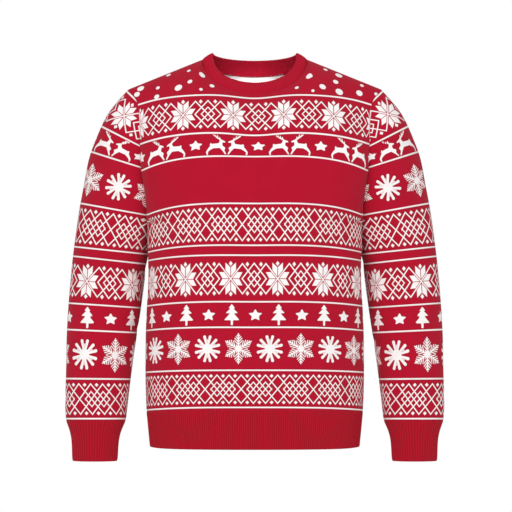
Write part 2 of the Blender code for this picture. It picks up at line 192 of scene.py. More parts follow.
# Creases of a sleeve go round it: turn is 0 on its inner edge, 90 at the front, 180 outside, 270 behind.
ArmCrease = namedtuple("ArmCrease", "turn height half_turn half_width depth slope")
LEFT_ARM_CREASES = (
    ArmCrease(30.0, -372.0, 60.0, 9.0, 2.6, -0.20),
    ArmCrease(60.0, -425.0, 70.0, 10.0, 2.2, -0.12),
    ArmCrease(20.0, -468.0, 55.0, 8.0, 1.8, 0.10),
    ArmCrease(150.0, -592.0, 60.0, 8.0, 1.6, 0.06),
    ArmCrease(50.0, -600.0, 55.0, 7.0, 1.7, -0.08),
    ArmCrease(290.0, -360.0, 70.0, 11.0, 3.0, 0.22),
    ArmCrease(240.0, -440.0, 65.0, 10.0, 2.4, -0.14),
    ArmCrease(300.0, -545.0, 60.0, 9.0, 2.0, 0.10),
)
RIGHT_ARM_CREASES = (
    ArmCrease(34.0, -362.0, 62.0, 9.0, 2.4, -0.22),
    ArmCrease(52.0, -436.0, 66.0, 11.0, 2.4, -0.10),
    ArmCrease(24.0, -490.0, 60.0, 8.0, 1.7, 0.12),
    ArmCrease(140.0, -585.0, 66.0, 8.0, 1.5, -0.05),
    ArmCrease(44.0, -596.0, 50.0, 7.0, 1.8, 0.07),
    ArmCrease(280.0, -372.0, 72.0, 11.0, 2.8, 0.20),
    ArmCrease(250.0, -455.0, 60.0, 10.0, 2.2, -0.16),
    ArmCrease(296.0, -560.0, 60.0, 9.0, 2.1, 0.08),
)

# The pattern is laid out as it falls on the middle plane, y = 0, for an eye this far in front at this height.
EYE_DISTANCE = 8000.0
EYE_HEIGHT = -343.0

# White lines knitted round the body: the height of each off the middle, how far it hangs lower at the
# side seams, and how far it dips in the middle of the front.
Course = namedtuple("Course", "knit height droop dip")
BODY_COURSES = (
    Course(-68.0, -60.0, 18.5, 7.0),
    Course(-130.0, -126.5, 20.5, 5.5),
    Course(-169.0, -167.5, 26.0, 1.5),
    Course(-251.0, -250.3, 20.0, 0.8),
    Course(-324.0, -323.6, 13.5, 0.6),
    Course(-341.4, -341.2, 10.0, 0.5),
    Course(-423.0, -422.8, 7.8, 0.4),
    Course(-467.8, -467.6, 5.8, 0.3),
    Course(-543.0, -543.0, 3.5, 0.0),
    Course(-611.6, HEM_SEAM_MIDDLE, HEM_SEAM_MIDDLE - HEM_SEAM, 0.0),
)
COURSE_POWER = 3.6
DIP_HALF_WIDTH = 48.0
YOKE_STRETCH = 1.25  # courses lie closer in height where the yoke slopes back

# The same lines on a sleeve, each from its outer to its inner edge, with half the width of the arm there.
ArmCourse = namedtuple("ArmCourse", "knit outer_x outer_z inner_x inner_z half_width")
ARM_COURSES = (
    ArmCourse(-68.0, 222.3, -56.4, 201.9, -76.1, 60.0),
    ArmCourse(-130.0, 267.3, -116.7, 199.1, -151.4, 62.0),
    ArmCourse(-169.0, 283.9, -161.4, 198.0, -188.3, 62.5),
    ArmCourse(-251.0, 305.1, -250.8, 193.5, -270.7, 63.5),
    ArmCourse(-324.0, 317.4, -326.6, 187.9, -339.9, 65.0),
    ArmCourse(-341.4, 318.4, -343.2, 189.1, -357.4, 65.0),
    ArmCourse(-423.0, 325.6, -425.4, 200.6, -433.7, 62.6),
    ArmCourse(-467.8, 327.3, -471.6, 206.9, -477.1, 60.3),
    ArmCourse(-543.0, 330.8, -557.6, 215.9, -558.6, 57.4),
    ArmCourse(-611.6, 328.9, -629.0, 225.7, -629.0, 51.6),
)
ARM_COURSES_END = 1.3  # how far courses are counted on past a line, as a share of the way to the next

# How deep the section is through which the wales are counted, as a share of its half width: the yoke lies
# flatter than the body below the armholes.
YOKE_DEPTH_SHARE = 0.32
BODY_DEPTH_SHARE = 0.62
YOKE_FLATTENS = -300.0

# The section through which a sleeve's wales are counted: flat in front, round towards its edges.
ARM_POWER = 2.9
ARM_DEPTH_SHARE = 0.8
ARM_FLAT_TO = 0.7
ARM_ROUND_FROM = 0.95

# Where the line patterns and the snowflakes of a band start to repeat, across the body and round each sleeve.
# None means that the piece has no snowflakes there.
Band = namedtuple("Band", "top bottom body_start left_start right_start")
BANDS = (
    Band(0.0, -130.0, -37.3, 50.0, 44.0),
    Band(-169.0, -251.0, None, 90.5, 96.0),
    Band(-251.0, -324.0, 10.0, 61.5, 66.0),
    Band(-341.4, -423.0, 39.6, 60.7, 63.3),
    Band(-467.8, -543.0, 26.0, 61.0, 111.1),
    Band(-543.0, -620.0, 8.1, 82.7, 79.4),
)

# Figures knitted in white: the course of their middle, how far apart they stand, where the first one is on
# the body and on each sleeve, and how they are stretched.
Figure = namedtuple("Figure", "shape course repeat body_start left_start right_start width height")
FIGURES = (
    Figure("star", -150.5, 108.5, 6.2, 112.4, 110.9, 1.2, 0.8),
    Figure("deer_pair", -150.0, 108.5, 60.5, 63.0, 61.5, 1.0, 1.0),
    Figure("tree", -445.5, 81.0, 41.5, 65.0, 64.5, 1.0, 1.0),
    Figure("star", -446.5, 81.0, 1.0, 106.0, 104.6, 1.12, 1.0),
)
NO_FIGURE = -50.0  # how deep a point counts as lying inside a figure where none is near
NO_FLAKES = -200.0  # the same, where a piece has no snowflakes either

# A thick line of white knit: two round ends, each with its own radius.
Stroke = namedtuple("Stroke", "x1 y1 r1 x2 y2 r2")
DEER = (
    Stroke(-6.5, -2.0, 3.7, 5.5, -1.2, 3.9),
    Stroke(6.8, -0.5, 4.0, 8.6, 6.4, 2.2),
    Stroke(8.4, 7.0, 2.2, 15.4, 5.2, 1.0),
    Stroke(8.0, 8.6, 1.1, 1.2, 12.4, 1.0),
    Stroke(1.2, 12.4, 1.0, -5.4, 17.2, 0.8),
    Stroke(3.0, 11.6, 0.9, 1.6, 16.8, 0.7),
    Stroke(-1.8, 14.4, 0.8, -1.6, 17.4, 0.6),
    Stroke(6.6, 9.8, 0.9, 6.0, 13.5, 0.7),
    Stroke(8.6, -4.2, 2.4, 12.6, -9.6, 1.5),
    Stroke(12.6, -9.6, 1.5, 16.2, -15.4, 1.1),
    Stroke(9.6, -2.8, 2.0, 14.4, -5.2, 1.3),
    Stroke(14.4, -5.2, 1.3, 13.0, -8.6, 0.9),
    Stroke(-7.6, -3.4, 3.2, -12.6, -7.4, 2.0),
    Stroke(-12.6, -7.4, 2.0, -16.2, -11.6, 1.4),
    Stroke(-16.2, -11.6, 1.4, -15.2, -16.4, 1.2),
    Stroke(-9.6, -0.2, 1.5, -9.4, 2.8, 0.8),
)
DEER_APART = 18.5  # from the middle of a pair to the middle of each deer

Tier = namedtuple("Tier", "top bottom half_width")
TREE_TIERS = (Tier(18.6, 11.0, 5.8), Tier(12.9, 2.4, 11.0), Tier(5.8, -9.9, 13.5))
TRUNK_HALF_WIDTH = 1.9
TREE_FOOT = -18.5
STAR_TIP = 11.4
STAR_NOTCH = 5.6

# Snow on the yoke, seen from the front: the places of its dots and their radii.
Dot = namedtuple("Dot", "x z radius")
FRONT_SNOW = (
    Dot(-116.0, -18.6, 3.5), Dot(-151.5, -26.4, 4.4), Dot(-92.3, -26.0, 6.2), Dot(-113.7, -37.6, 4.6),
    Dot(-199.0, -49.4, 6.4), Dot(-170.0, -48.3, 3.6), Dot(-133.6, -49.0, 7.0), Dot(-75.2, -45.3, 4.4),
    Dot(-94.6, -51.5, 3.1), Dot(-206.0, -60.0, 5.2), Dot(-171.0, -64.8, 4.8), Dot(95.1, -27.5, 6.2),
    Dot(124.5, -16.8, 3.9), Dot(148.0, -27.1, 6.6), Dot(141.3, -38.7, 5.0), Dot(119.4, -47.0, 6.0),
    Dot(188.0, -44.6, 3.6), Dot(73.8, -48.3, 3.6), Dot(102.6, -54.0, 3.0), Dot(148.7, -55.8, 7.0),
    Dot(183.5, -57.6, 6.0), Dot(212.0, -60.0, 3.5),
)
BACK_SNOW = FRONT_SNOW + (
    Dot(-52.0, -40.0, 5.6), Dot(-22.0, -50.0, 4.0), Dot(8.0, -41.0, 6.4), Dot(34.0, -52.0, 3.6),
    Dot(55.0, -38.0, 5.0),
)

# How finely the pieces are knitted. Inner skins take every fourth point of the outer ones.
INNER_STEP = 4
PANEL_COLUMNS = 308
RowsPart = namedtuple("RowsPart", "bottom top rows")
PANEL_ROWS = (
    RowsPart(HEM_SEAM_MIDDLE, -543.0, 18),
    RowsPart(-543.0, -423.0, 78),
    RowsPart(-423.0, -169.0, 62),
    RowsPart(-169.0, -150.0, 10),
)
YOKE_ROWS = 100
SLEEVE_COLUMNS = 204
SLEEVE_LENGTHS = 304
POINTS_PER_RIB = 6
BODY_RIBS = 264
NECK_RIBS = 144
CUFF_RIBS = 56
RIB_ROWS = 20
RIB_POWER = 0.8  # below 1 the ribs are broader than the grooves between them
HEM_CROWDING = 1.3  # above 1 the rows of the hem lie closer towards its free edge
HEM_CORNER_POWER = 12  # how near to the sides the hem's edge begins to rise
BAND_ROWS = 11
BAND_TURNED = 0.94  # how far up the neckband's outer face goes before its top turns over
BAND_TURNS = 9
BAND_TOP_RIB = 0.85  # how high the ribs stand on the turned top, as a share of those on the outer face
BAND_INNER_RIB = 0.7  # the same on the inner face
BAND_GROOVE_PAINTED_LIGHTNESS = 0.6  # how light the painted shade leaves the grooves of the neckband: folded double, it is stretched smoother

SEAM_SWELL = 0.5  # how far the cloth swells beside a seam, which lies in the valley between two such swells
SEAM_SWELL_PLACE = 2.2  # how far from the seam it is highest
SEAM_EASE = 1.5  # how far from its edge a panel gives way to the seam gap


def linear(hex_colour):
    """The linear RGBA colour of an sRGB hex value."""
    shares = [int(hex_colour[place : place + 2], 16) / 255 for place in (1, 3, 5)]
    lit = [share / 12.92 if share <= 0.04045 else ((share + 0.055) / 1.055) ** 2.4 for share in shares]
    return (*lit, 1.0)


# ---------------------------------------------------------------- settings


def length_setting(name, description, default, low, high):
    """A length that is given here in millimetres and kept in metres."""
    return bpy.props.FloatProperty(
        name=name, description=description,
        default=default * MM, min=low * MM, max=high * MM, unit="LENGTH", precision=4,
    )


def yarn_setting(name, description, hex_colour):
    """The colour of a yarn."""
    return bpy.props.FloatVectorProperty(
        name=name, description=description,
        default=linear(hex_colour), size=4, subtype="COLOR", min=0.0, max=1.0,
    )


class JumperKnit(bpy.types.PropertyGroup):
    """Sizes and colours of the cloth"""

    wall: length_setting("Jacquard thickness", "Thickness of front, back and sleeves", 2.0, 1.0, 3.0)
    rib_wall: length_setting("Rib thickness", "Thickness of hem and cuffs between their ribs", 1.8, 1.0, 3.0)
    band_wall: length_setting("Neckband thickness", "Thickness of the neckband, folded double", 3.2, 2.0, 6.0)
    rib_height: length_setting("Rib height", "How far a rib stands above the cloth beside it", 0.9, 0.0, 2.0)
    red: yarn_setting("Red yarn", "Colour of the ground and the neckband", "#B5122E")
    rib_red: yarn_setting("Rib yarn", "Colour of hem and cuffs", "#B41529")
    white: yarn_setting("White yarn", "Colour of the pattern", "#FDF9F9")
    reverse: yarn_setting("Reverse", "Colour of the inside, where the white yarn floats", "#FBF6F6")


class JumperPattern(bpy.types.PropertyGroup):
    """Sizes of the knitted pattern"""

    line_width: length_setting("Line width", "Width of the white lines between bands", 2.6, 1.0, 8.0)
    lattice_width: length_setting("Lattice width", "Width of the white lines inside a band", 1.9, 1.0, 5.0)
    wale_width: length_setting("Wale width", "Width of one knitted column", 2.0, 1.0, 8.0)
    course_height: length_setting("Course height", "Height of one knitted row", 1.6, 1.0, 8.0)


class JumperStage(bpy.types.PropertyGroup):
    """Camera, floor and light"""

    distance: bpy.props.FloatProperty(
        name="Camera distance", description="From the camera to the middle of the garment",
        default=8.0, min=1.0, max=30.0, unit="LENGTH",
    )
    view_width: bpy.props.FloatProperty(
        name="View width", description="Width of what the camera sees at the garment",
        default=0.896, min=0.2, max=5.0, unit="LENGTH",
    )
    aim: bpy.props.FloatVectorProperty(
        name="Aim", description="The point in the middle of the view",
        default=(0.0022, 0.0, -0.343), size=3, subtype="TRANSLATION", unit="LENGTH",
    )
    floor_height: bpy.props.FloatProperty(
        name="Floor height", description="The floor hangs clear under the garment",
        default=-0.94, min=-3.0, max=-0.71, unit="LENGTH",
    )
    fill: bpy.props.FloatProperty(
        name="Fill light", description="Strength of the light from all round", default=0.57, min=0.0, max=3.0,
    )


# ---------------------------------------------------------------- shape


def smooth(table, column, at):
    """The table's column at any height, on a smooth curve through its rows."""
    heights = np.array([row[0] for row in table])
    values = np.array([getattr(row, column) for row in table])
    return through(heights, values, np.clip(at, heights[0], heights[-1]))


def through(stations, values, at):
    """A smooth curve through values at rising stations, read at any place between them."""
    slopes = np.gradient(values, stations, axis=0)
    index = np.clip(np.searchsorted(stations, at) - 1, 0, len(stations) - 2)
    step = stations[index + 1] - stations[index]
    t = (at - stations[index]) / step
    if values.ndim > 1:
        extra = (...,) + (None,) * (values.ndim - 1)
        step, t = step[extra], t[extra]
    start = (2 * t**3 - 3 * t**2 + 1) * values[index] + (t**3 - 2 * t**2 + t) * step * slopes[index]
    end = (3 * t**2 - 2 * t**3) * values[index + 1] + (t**3 - t**2) * step * slopes[index + 1]
    return start + end


def blend(low, high, share):
    return low + (high - low) * share


def swell(x):
    """1 at x = 0, falling smoothly to 0 at 1 on both sides."""
    return np.where(np.abs(x) < 1.0, np.cos(np.clip(x, -1.0, 1.0) * math.pi / 2) ** 2, 0.0)


def unit(vectors):
    return vectors / np.linalg.norm(vectors, axis=-1, keepdims=True)


def section_arc(power, half_width, depth):
    """Places from 0 to 1 across half a section, and the length of cloth from its middle to each."""
    turn = np.linspace(0.0, math.pi / 2, 2001)
    place = np.sin(turn) ** (2 / power)
    steps = np.hypot(np.diff(place) * half_width, np.diff(np.cos(turn) ** (2 / power)) * depth)
    return place, np.concatenate([[0.0], np.cumsum(steps)])


def round_chest(column):
    """Places across a panel, from -1 to 1, for columns spaced evenly round the chest from 0 to COLUMNS."""
    chest = smooth(BODY_ROWS, "half_width", UNDERARM), smooth(BODY_ROWS, "front_depth", UNDERARM)
    place, length = section_arc(BODY_POWER, *chest)
    from_middle = np.asarray(column) / COLUMNS * 2 - 1
    return np.sign(from_middle) * np.interp(np.abs(from_middle) * length[-1], length, place)


def depth_share(place):
    """How deep a cross-section is at a place across it, from 0 at its sides to 1 in the middle."""
    return np.maximum(1 - np.abs(place) ** BODY_POWER, 0.0) ** (1 / BODY_POWER)


def folded(x, y, z, side, folds, fade):
    """The depths y with the folds pressed in, fading towards the side seams."""
    for fold in folds:
        middle = (fold.top + fold.bottom) / 2
        half = (fold.top - fold.bottom) / 2
        centre = fold.across + fold.lean * (middle - z)
        reach = np.exp(-(((x - centre) / fold.half_width) ** 2)) * swell((z - middle) / half)
        y = y - side * fold.depth * reach * fade
    return y


def top_edge(panel, column):
    """Place across, height and depth of a panel's top edge, and how steeply its cloth arrives there."""
    tip = ARMHOLE_ROWS[-1].reach
    from_side = np.minimum(column, COLUMNS - column) / SHOULDER_COLUMNS
    turn = (column - SHOULDER_COLUMNS) / (COLUMNS - 2 * SHOULDER_COLUMNS) * math.pi
    in_neck = from_side > 1
    rise = np.where(in_neck, np.sin(turn), 0.0)
    neck_x = -NECK_HALF_WIDTH * np.cos(turn)
    shoulder_x = blend(tip, NECK_HALF_WIDTH, from_side) * np.sign(column - COLUMNS / 2)
    place = np.where(in_neck, neck_x, shoulder_x) / tip
    height = np.where(in_neck, -panel.neck_drop * rise, SHOULDER_TIP * (1 - from_side))
    power = SHOULDER_POWER + SLOPE_POWER * np.minimum(from_side, 1.0)
    return place, height, panel.neck_depth * rise, blend(power, 1.0, rise)


def panel_points(panel, folds, column, row):
    """Points of the front or the back, at rows from the hem seam at 0 to the top edge at TOP_STEP."""
    column, row = np.meshgrid(column, row)
    place = round_chest(column)
    low = np.minimum(row / BODY_STEPS, 1.0)
    arm = np.clip((row - BODY_STEPS) / ARM_STEPS, 0.0, 1.0)
    rise = np.sin(np.clip((row - BODY_STEPS - ARM_STEPS) / ARM_STEPS, 0.0, 1.0) * math.pi / 2)
    middle = blend(blend(HEM_SEAM_MIDDLE, UNDERARM_MIDDLE, low), CHEST_MIDDLE, arm)
    edge = np.where(arm > 0, blend(CHEST, UNDERARM, np.cos(arm * math.pi / 2)), blend(HEM_SEAM, UNDERARM, low))
    tuck = smooth(BODY_ROWS, "tuck", edge)
    side_reach = smooth(BODY_ROWS, "half_width", edge) - tuck
    reach = np.where(arm > 0, smooth(ARMHOLE_ROWS, "reach", edge), side_reach)
    from_seam = np.minimum(column, COLUMNS - column) / (COLUMNS / 2) / TUCK_PLACE
    bulge = panel.bulge * np.sign(place) * from_seam * np.exp(1 - from_seam) * tuck
    x = place * reach + bulge
    z = blend(middle, edge, np.abs(place) ** DROOP_POWER)
    edge_depth = panel.armhole_depth * np.sin(arm * math.pi / 2)
    y = blend(edge_depth, smooth(BODY_ROWS, panel.depth, middle), depth_share(place))
    top_place, top_height, top_depth, power = top_edge(panel, column)
    upper = rise > 0
    high_reach = smooth(ARMHOLE_ROWS, "reach", blend(CHEST, SHOULDER_TIP, rise))
    x = np.where(upper, blend(place, top_place, rise) * high_reach, x)
    z = np.where(upper, blend(z, top_height, rise), z)
    y = np.where(upper, blend(top_depth, y, np.maximum(1 - rise**2, 0.0) ** power), y)
    y = folded(x, panel.side * y, z, panel.side, folds, depth_share(place))
    return np.stack([x, y, z], axis=-1)


def panel_rows():
    """Rows of a panel as steps from its hem seam: close together where figures are knitted."""
    heights = [np.linspace(part.bottom, part.top, part.rows, endpoint=False) for part in PANEL_ROWS]
    heights = np.concatenate(heights)
    low = (heights - HEM_SEAM_MIDDLE) / (UNDERARM_MIDDLE - HEM_SEAM_MIDDLE) * BODY_STEPS
    high = BODY_STEPS + (heights - UNDERARM_MIDDLE) / (CHEST_MIDDLE - UNDERARM_MIDDLE) * ARM_STEPS
    below_chest = np.where(heights < UNDERARM_MIDDLE, low, high)
    return np.concatenate([below_chest, np.linspace(BODY_STEPS + ARM_STEPS, TOP_STEP, YOKE_ROWS + 1)])


def sleeve_points(turn, station):
    """Points of the sleeve on the +X side: stations from the armhole at 0, turns in radians from the underarm."""
    rows = BODY_STEPS + 2 * ARM_STEPS * turn / math.pi
    up = panel_points(FRONT, (), [COLUMNS], np.minimum(rows, TOP_STEP))[:, 0]
    down = panel_points(BACK, (), [COLUMNS], np.minimum(2 * TOP_STEP - rows, TOP_STEP))[:, 0]
    rings = [np.where(turn[:, None] <= math.pi, up, down)]
    for row in SLEEVE_ROWS:
        outward = (1 - np.cos(turn)) / 2
        x = blend(row.inner_x, row.outer_x, outward)
        z = blend(row.inner_z, row.outer_z, outward)
        y = row.back - row.half_depth * np.sin(turn)
        centre = np.array([(row.inner_x + row.outer_x) / 2, row.back, (row.inner_z + row.outer_z) / 2])
        ring = np.stack([x, y, z], axis=-1)
        pressed = sum(
            hollow.depth
            * swell((z - hollow.height) / (2 * hollow.half_height))
            * swell((np.degrees(turn) - hollow.turn) / (2 * hollow.half_turn))
            for hollow in SLEEVE_HOLLOWS
        )
        rings.append(ring - unit(ring - centre) * pressed[:, None])
    return through(np.arange(len(rings), dtype=float), np.array(rings), station)


def normals_of(points, centres, closed):
    """Unit normals of a grid of points, pointing away from the centres of its rows.

    A closed grid's last column repeats its first.
    """
    if closed:
        ring = np.concatenate([points[:, -2:-1], points, points[:, 1:2]], axis=1)
        across = ring[:, 2:] - ring[:, :-2]
    else:
        across = np.gradient(points, axis=1)
    normals = unit(np.cross(across, np.gradient(points, axis=0)))
    return normals * np.sign(np.sum(normals * (points - centres)))


def creased(points, normals, creases):
    """A panel with its small creases pressed in along its normals."""
    moved = points
    for crease in creases:
        turn = math.radians(crease.lean)
        x = points[..., 0] - crease.across
        z = points[..., 2] - crease.height
        across = x * math.cos(turn) - z * math.sin(turn)
        lengthwise = x * math.sin(turn) + z * math.cos(turn)
        share = np.exp(-((across / crease.half_width) ** 2)) * swell(lengthwise / crease.half_length)
        moved = moved - normals * (crease.depth * share)[..., None]
    return moved


def arm_creased(points, normals, turn, creases):
    """A sleeve with its small creases pressed in along its normals."""
    moved = points
    for crease in creases:
        from_turn = (np.degrees(turn)[None, :] - crease.turn + 180.0) % 360.0 - 180.0
        across = points[..., 2] - crease.height - crease.slope * from_turn
        share = np.exp(-((across / crease.half_width) ** 2)) * swell(from_turn / crease.half_turn)
        moved = moved - normals * (crease.depth * share)[..., None]
    return moved


def along(points, axis):
    """Lengths along the rows or the columns of a grid of points."""
    steps = np.linalg.norm(np.diff(points, axis=axis), axis=-1)
    start = np.zeros_like(np.take(steps, [0], axis=axis))
    return np.concatenate([start, np.cumsum(steps, axis=axis)], axis=axis)


def sewn(points, normals):
    """A sheet whose edges are drawn back by half the seam gap, and the same as it swells a little beside them."""
    moved = points
    from_edge = np.full(points.shape[:2], math.inf)
    for axis in (0, 1):
        length = along(points, axis)
        whole = np.take(length, [-1], axis=axis)
        for edge, inner, away in ((0, 3, length), (-1, -4, whole - length)):
            inward = unit(np.take(points, [inner], axis=axis) - np.take(points, [edge], axis=axis))
            moved = moved + inward * (SEAM_GAP / 2 * np.exp(-((away / SEAM_EASE) ** 2)))[..., None]
            from_edge = np.minimum(from_edge, away)
    share = from_edge / SEAM_SWELL_PLACE
    return moved, moved + normals * (SEAM_SWELL * share * np.exp(1 - share))[..., None]


# ---------------------------------------------------------------- knitting pattern


def laid_flat(points):
    """Points moved to where an eye on their own side sees them on the plane y = 0, with their depth kept."""
    scale = EYE_DISTANCE / (EYE_DISTANCE - np.abs(points[..., 1]))
    x, z = points[..., 0] * scale, EYE_HEIGHT + (points[..., 2] - EYE_HEIGHT) * scale
    return np.stack([x, points[..., 1], z], axis=-1)


def side_share(x, z):
    """How far out points lie on the body, from 0 on the middle to 1 at a side seam or an armhole."""
    half_width = smooth(ARMHOLE_ROWS, "reach", z)
    half_width = np.where(z < UNDERARM, smooth(BODY_ROWS, "half_width", z), half_width)
    return np.minimum(np.abs(x) / half_width, 1.0), half_width


def body_courses(flat, dips):
    """How far up its courses each point of a panel lies."""
    x, z = flat[..., 0], flat[..., 2]
    out = side_share(x, z)[0] ** COURSE_POWER
    dip = dips * np.exp(-((x / DIP_HALF_WIDTH) ** 2))
    lines = [course.height - course.droop * out - course.dip * dip for course in BODY_COURSES]
    knit = BODY_COURSES[0].knit + (z - lines[0]) * YOKE_STRETCH
    rows = list(zip(lines, BODY_COURSES))
    for (upper, high), (lower, low) in zip(rows, rows[1:]):
        share = (z - upper) / (lower - upper)
        knit = np.where(z < upper, blend(high.knit, low.knit, share), knit)
    return knit


def body_wales(points):
    """How far across its wales each point of a panel lies, from the middle."""
    x, z = points[..., 0], points[..., 2]
    share, half_width = side_share(x, z)
    depths = YOKE_DEPTH_SHARE, BODY_DEPTH_SHARE
    yoke, body = (np.interp(share, *section_arc(BODY_POWER, 1.0, depth)) for depth in depths)
    low = np.clip((CHEST - z) / (CHEST - YOKE_FLATTENS), 0.0, 1.0)
    return np.sign(x) * blend(yoke, body, low) * half_width


def arm_courses(flat, turn):
    """How far round its wales, from the outer edge by the front, and up its courses each sleeve point lies."""
    x, y, z = np.abs(flat[..., 0]), flat[..., 1], flat[..., 2]
    above = []
    for course in ARM_COURSES:
        outward = unit(np.array([course.outer_x - course.inner_x, course.outer_z - course.inner_z]))
        above.append((z - course.outer_z) * outward[0] - (x - course.outer_x) * outward[1])
    knit = ARM_COURSES[0].knit + above[0]
    lines = list(zip(above, ARM_COURSES))
    for (upper, high), (lower, low) in zip(lines, lines[1:]):
        share = np.clip(upper / np.minimum(upper - lower, -1e-6), 0.0, ARM_COURSES_END)
        knit = np.where(upper < 0, blend(high.knit, low.knit, share), knit)
    rising = ARM_COURSES[::-1]
    known = np.array([course.knit for course in rising])
    read = {
        name: np.interp(knit, known, [getattr(course, name) for course in rising])
        for name in ArmCourse._fields[1:]
    }
    slope = np.stack([read["outer_x"] - read["inner_x"], read["outer_z"] - read["inner_z"]], axis=-1)
    slope = unit(slope)
    rows = SLEEVE_ROWS[::-1]
    heights = [row.outer_z for row in rows]
    half_depth = np.interp(read["outer_z"], heights, [row.half_depth for row in rows])
    back = np.interp(read["outer_z"], heights, [row.back for row in rows])
    across = (x - read["outer_x"]) * slope[..., 0] + (z - read["outer_z"]) * slope[..., 1]
    out = across / read["half_width"] + 1
    round_arm = np.arctan2((back - y) / half_depth, out)
    turned = np.broadcast_to(turn, round_arm.shape)
    round_arm = np.where((turned < math.pi) & (round_arm < -math.pi / 2), round_arm + 2 * math.pi, round_arm)
    round_arm = np.where((turned > math.pi) & (round_arm > math.pi / 2), round_arm - 2 * math.pi, round_arm)
    by_edge = np.clip((np.abs(out) - ARM_FLAT_TO) / (ARM_ROUND_FROM - ARM_FLAT_TO), 0.0, 1.0)
    place = blend(out, np.cos(round_arm), by_edge)
    places, lengths = section_arc(ARM_POWER, 1.0, ARM_DEPTH_SHARE)
    wale = lengths[-1] - np.sign(place) * np.interp(np.abs(place), places, lengths)
    wale = np.where(np.abs(round_arm) > math.pi, 4 * lengths[-1] - wale, wale)
    return np.sign(round_arm) * wale * read["half_width"], knit


def stroke(x, y, line):
    """How deep points lie inside a thick line with round ends."""
    dx, dy = line.x2 - line.x1, line.y2 - line.y1
    share = np.clip(((x - line.x1) * dx + (y - line.y1) * dy) / (dx * dx + dy * dy), 0.0, 1.0)
    return blend(line.r1, line.r2, share) - np.hypot(x - line.x1 - share * dx, y - line.y1 - share * dy)


def strokes(x, y, lines):
    return np.max([stroke(x, y, line) for line in lines], axis=0)


def turned_to(x, y, arms, start):
    """Points turned onto the upright one of so many equal arms, the first of them start radians from upright."""
    part = 2 * math.pi / arms
    turn = (np.arctan2(x, y) - start + part / 2) % part - part / 2
    radius = np.hypot(x, y)
    return np.abs(radius * np.sin(turn)), radius * np.cos(turn)


def deer_pair(x, y):
    """Two leaping deer that face each other."""
    return strokes(DEER_APART - np.abs(x), y, DEER)


def tree(x, y):
    """A fir of three tiers with a bare trunk."""
    x = np.abs(x)
    found = np.minimum(TRUNK_HALF_WIDTH - x, np.minimum(y - TREE_FOOT, -y))
    for tier in TREE_TIERS:
        height = tier.top - tier.bottom
        side = (tier.half_width * (tier.top - y) - height * x) / math.hypot(height, tier.half_width)
        found = np.maximum(found, np.minimum(side, y - tier.bottom))
    return found


def star(x, y):
    """A five-pointed star."""
    x, y = turned_to(x, y, 5, 0.0)
    notch_x, notch_y = STAR_NOTCH * math.sin(math.pi / 5), STAR_NOTCH * math.cos(math.pi / 5)
    drop = STAR_TIP - notch_y
    return (notch_x * (STAR_TIP - y) - drop * x) / math.hypot(drop, notch_x)


SHAPES = {"star": star, "deer_pair": deer_pair, "tree": tree}


def figures(wale, course, starts):
    """How deep each point lies inside a white figure; below 0 it lies outside."""
    found = np.full(wale.shape, NO_FIGURE)
    for figure in FIGURES:
        start = getattr(figure, starts)
        x = (wale - start + figure.repeat / 2) % figure.repeat - figure.repeat / 2
        depth = SHAPES[figure.shape](x / figure.width, (course - figure.course) / figure.height)
        found = np.maximum(found, depth)
    for band in BANDS:
        if getattr(band, starts) is None:
            found = np.where((course <= band.top) & (course > band.bottom), NO_FLAKES, found)
    return found


def snow(points, flat, dots):
    """How deep each point lies inside a snow dot of the yoke."""
    found = np.full(points.shape[:2], NO_FLAKES)
    for dot in dots:
        away = np.hypot(flat[..., 0] - dot.x, flat[..., 2] - dot.z)
        middle = points.reshape(-1, 3)[np.argmin(away)]
        found = np.maximum(found, dot.radius - np.linalg.norm(points - middle, axis=-1))
    return found


def band_wales(wale, course, starts):
    """Wales counted from where the line pattern or the snowflakes of their own band start."""
    for band in BANDS:
        start = getattr(band, starts)
        if start is not None:
            wale = np.where((course <= band.top) & (course > band.bottom), wale - start, wale)
    return wale


# ---------------------------------------------------------------- meshes


def skin(bm, points, stitches):
    """A skin of quads over a grid of points that carries their stitches, as rows of vertices."""
    rows, columns = points.shape[:2]
    made = bmesh.ops.create_grid(bm, x_segments=columns - 1, y_segments=rows - 1, size=1.0)
    layer = bm.verts.layers.float_vector["stitch"]
    for vert, point, stitch in zip(made["verts"], points.reshape(-1, 3) * MM, stitches.reshape(-1, 3)):
        vert.co = point
        vert[layer] = stitch
    return [made["verts"][row * columns : (row + 1) * columns] for row in range(rows)]


def border(grid):
    """The vertices round the edge of an open skin, in order."""
    right = [row[-1] for row in grid[1:-1]]
    left = [row[0] for row in grid[1:-1]]
    return grid[0] + right + grid[-1][::-1] + left[::-1]


def rim(bm, outer, inner):
    """Closes the edge between an outer and an inner loop, which may have fewer points."""
    step = len(outer) // len(inner)
    for index, corner in enumerate(inner):
        following = inner[(index + 1) % len(inner)]
        edge = [outer[(index * step + offset) % len(outer)] for offset in range(step + 1)]
        bm.faces.new((*edge, following, corner))


def new_cloth():
    bm = bmesh.new()
    bm.verts.layers.float_vector.new("stitch")
    return bm


def finished(name, bm, materials, nodes):
    """The object of a finished bmesh, riding on the body in place of its CAD nodes."""
    bmesh.ops.recalc_face_normals(bm, faces=bm.faces)
    mesh = bpy.data.meshes.new(name)
    bm.to_mesh(mesh)
    bm.free()
    mesh.shade_smooth()
    mesh.set_sharp_from_angle(angle=math.radians(60))
    for material in materials:
        mesh.materials.append(material)
    piece = bpy.data.objects.new(name, mesh)
    bpy.context.scene.collection.objects.link(piece)
    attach(piece, BODY)
    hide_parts(*nodes)
    return piece


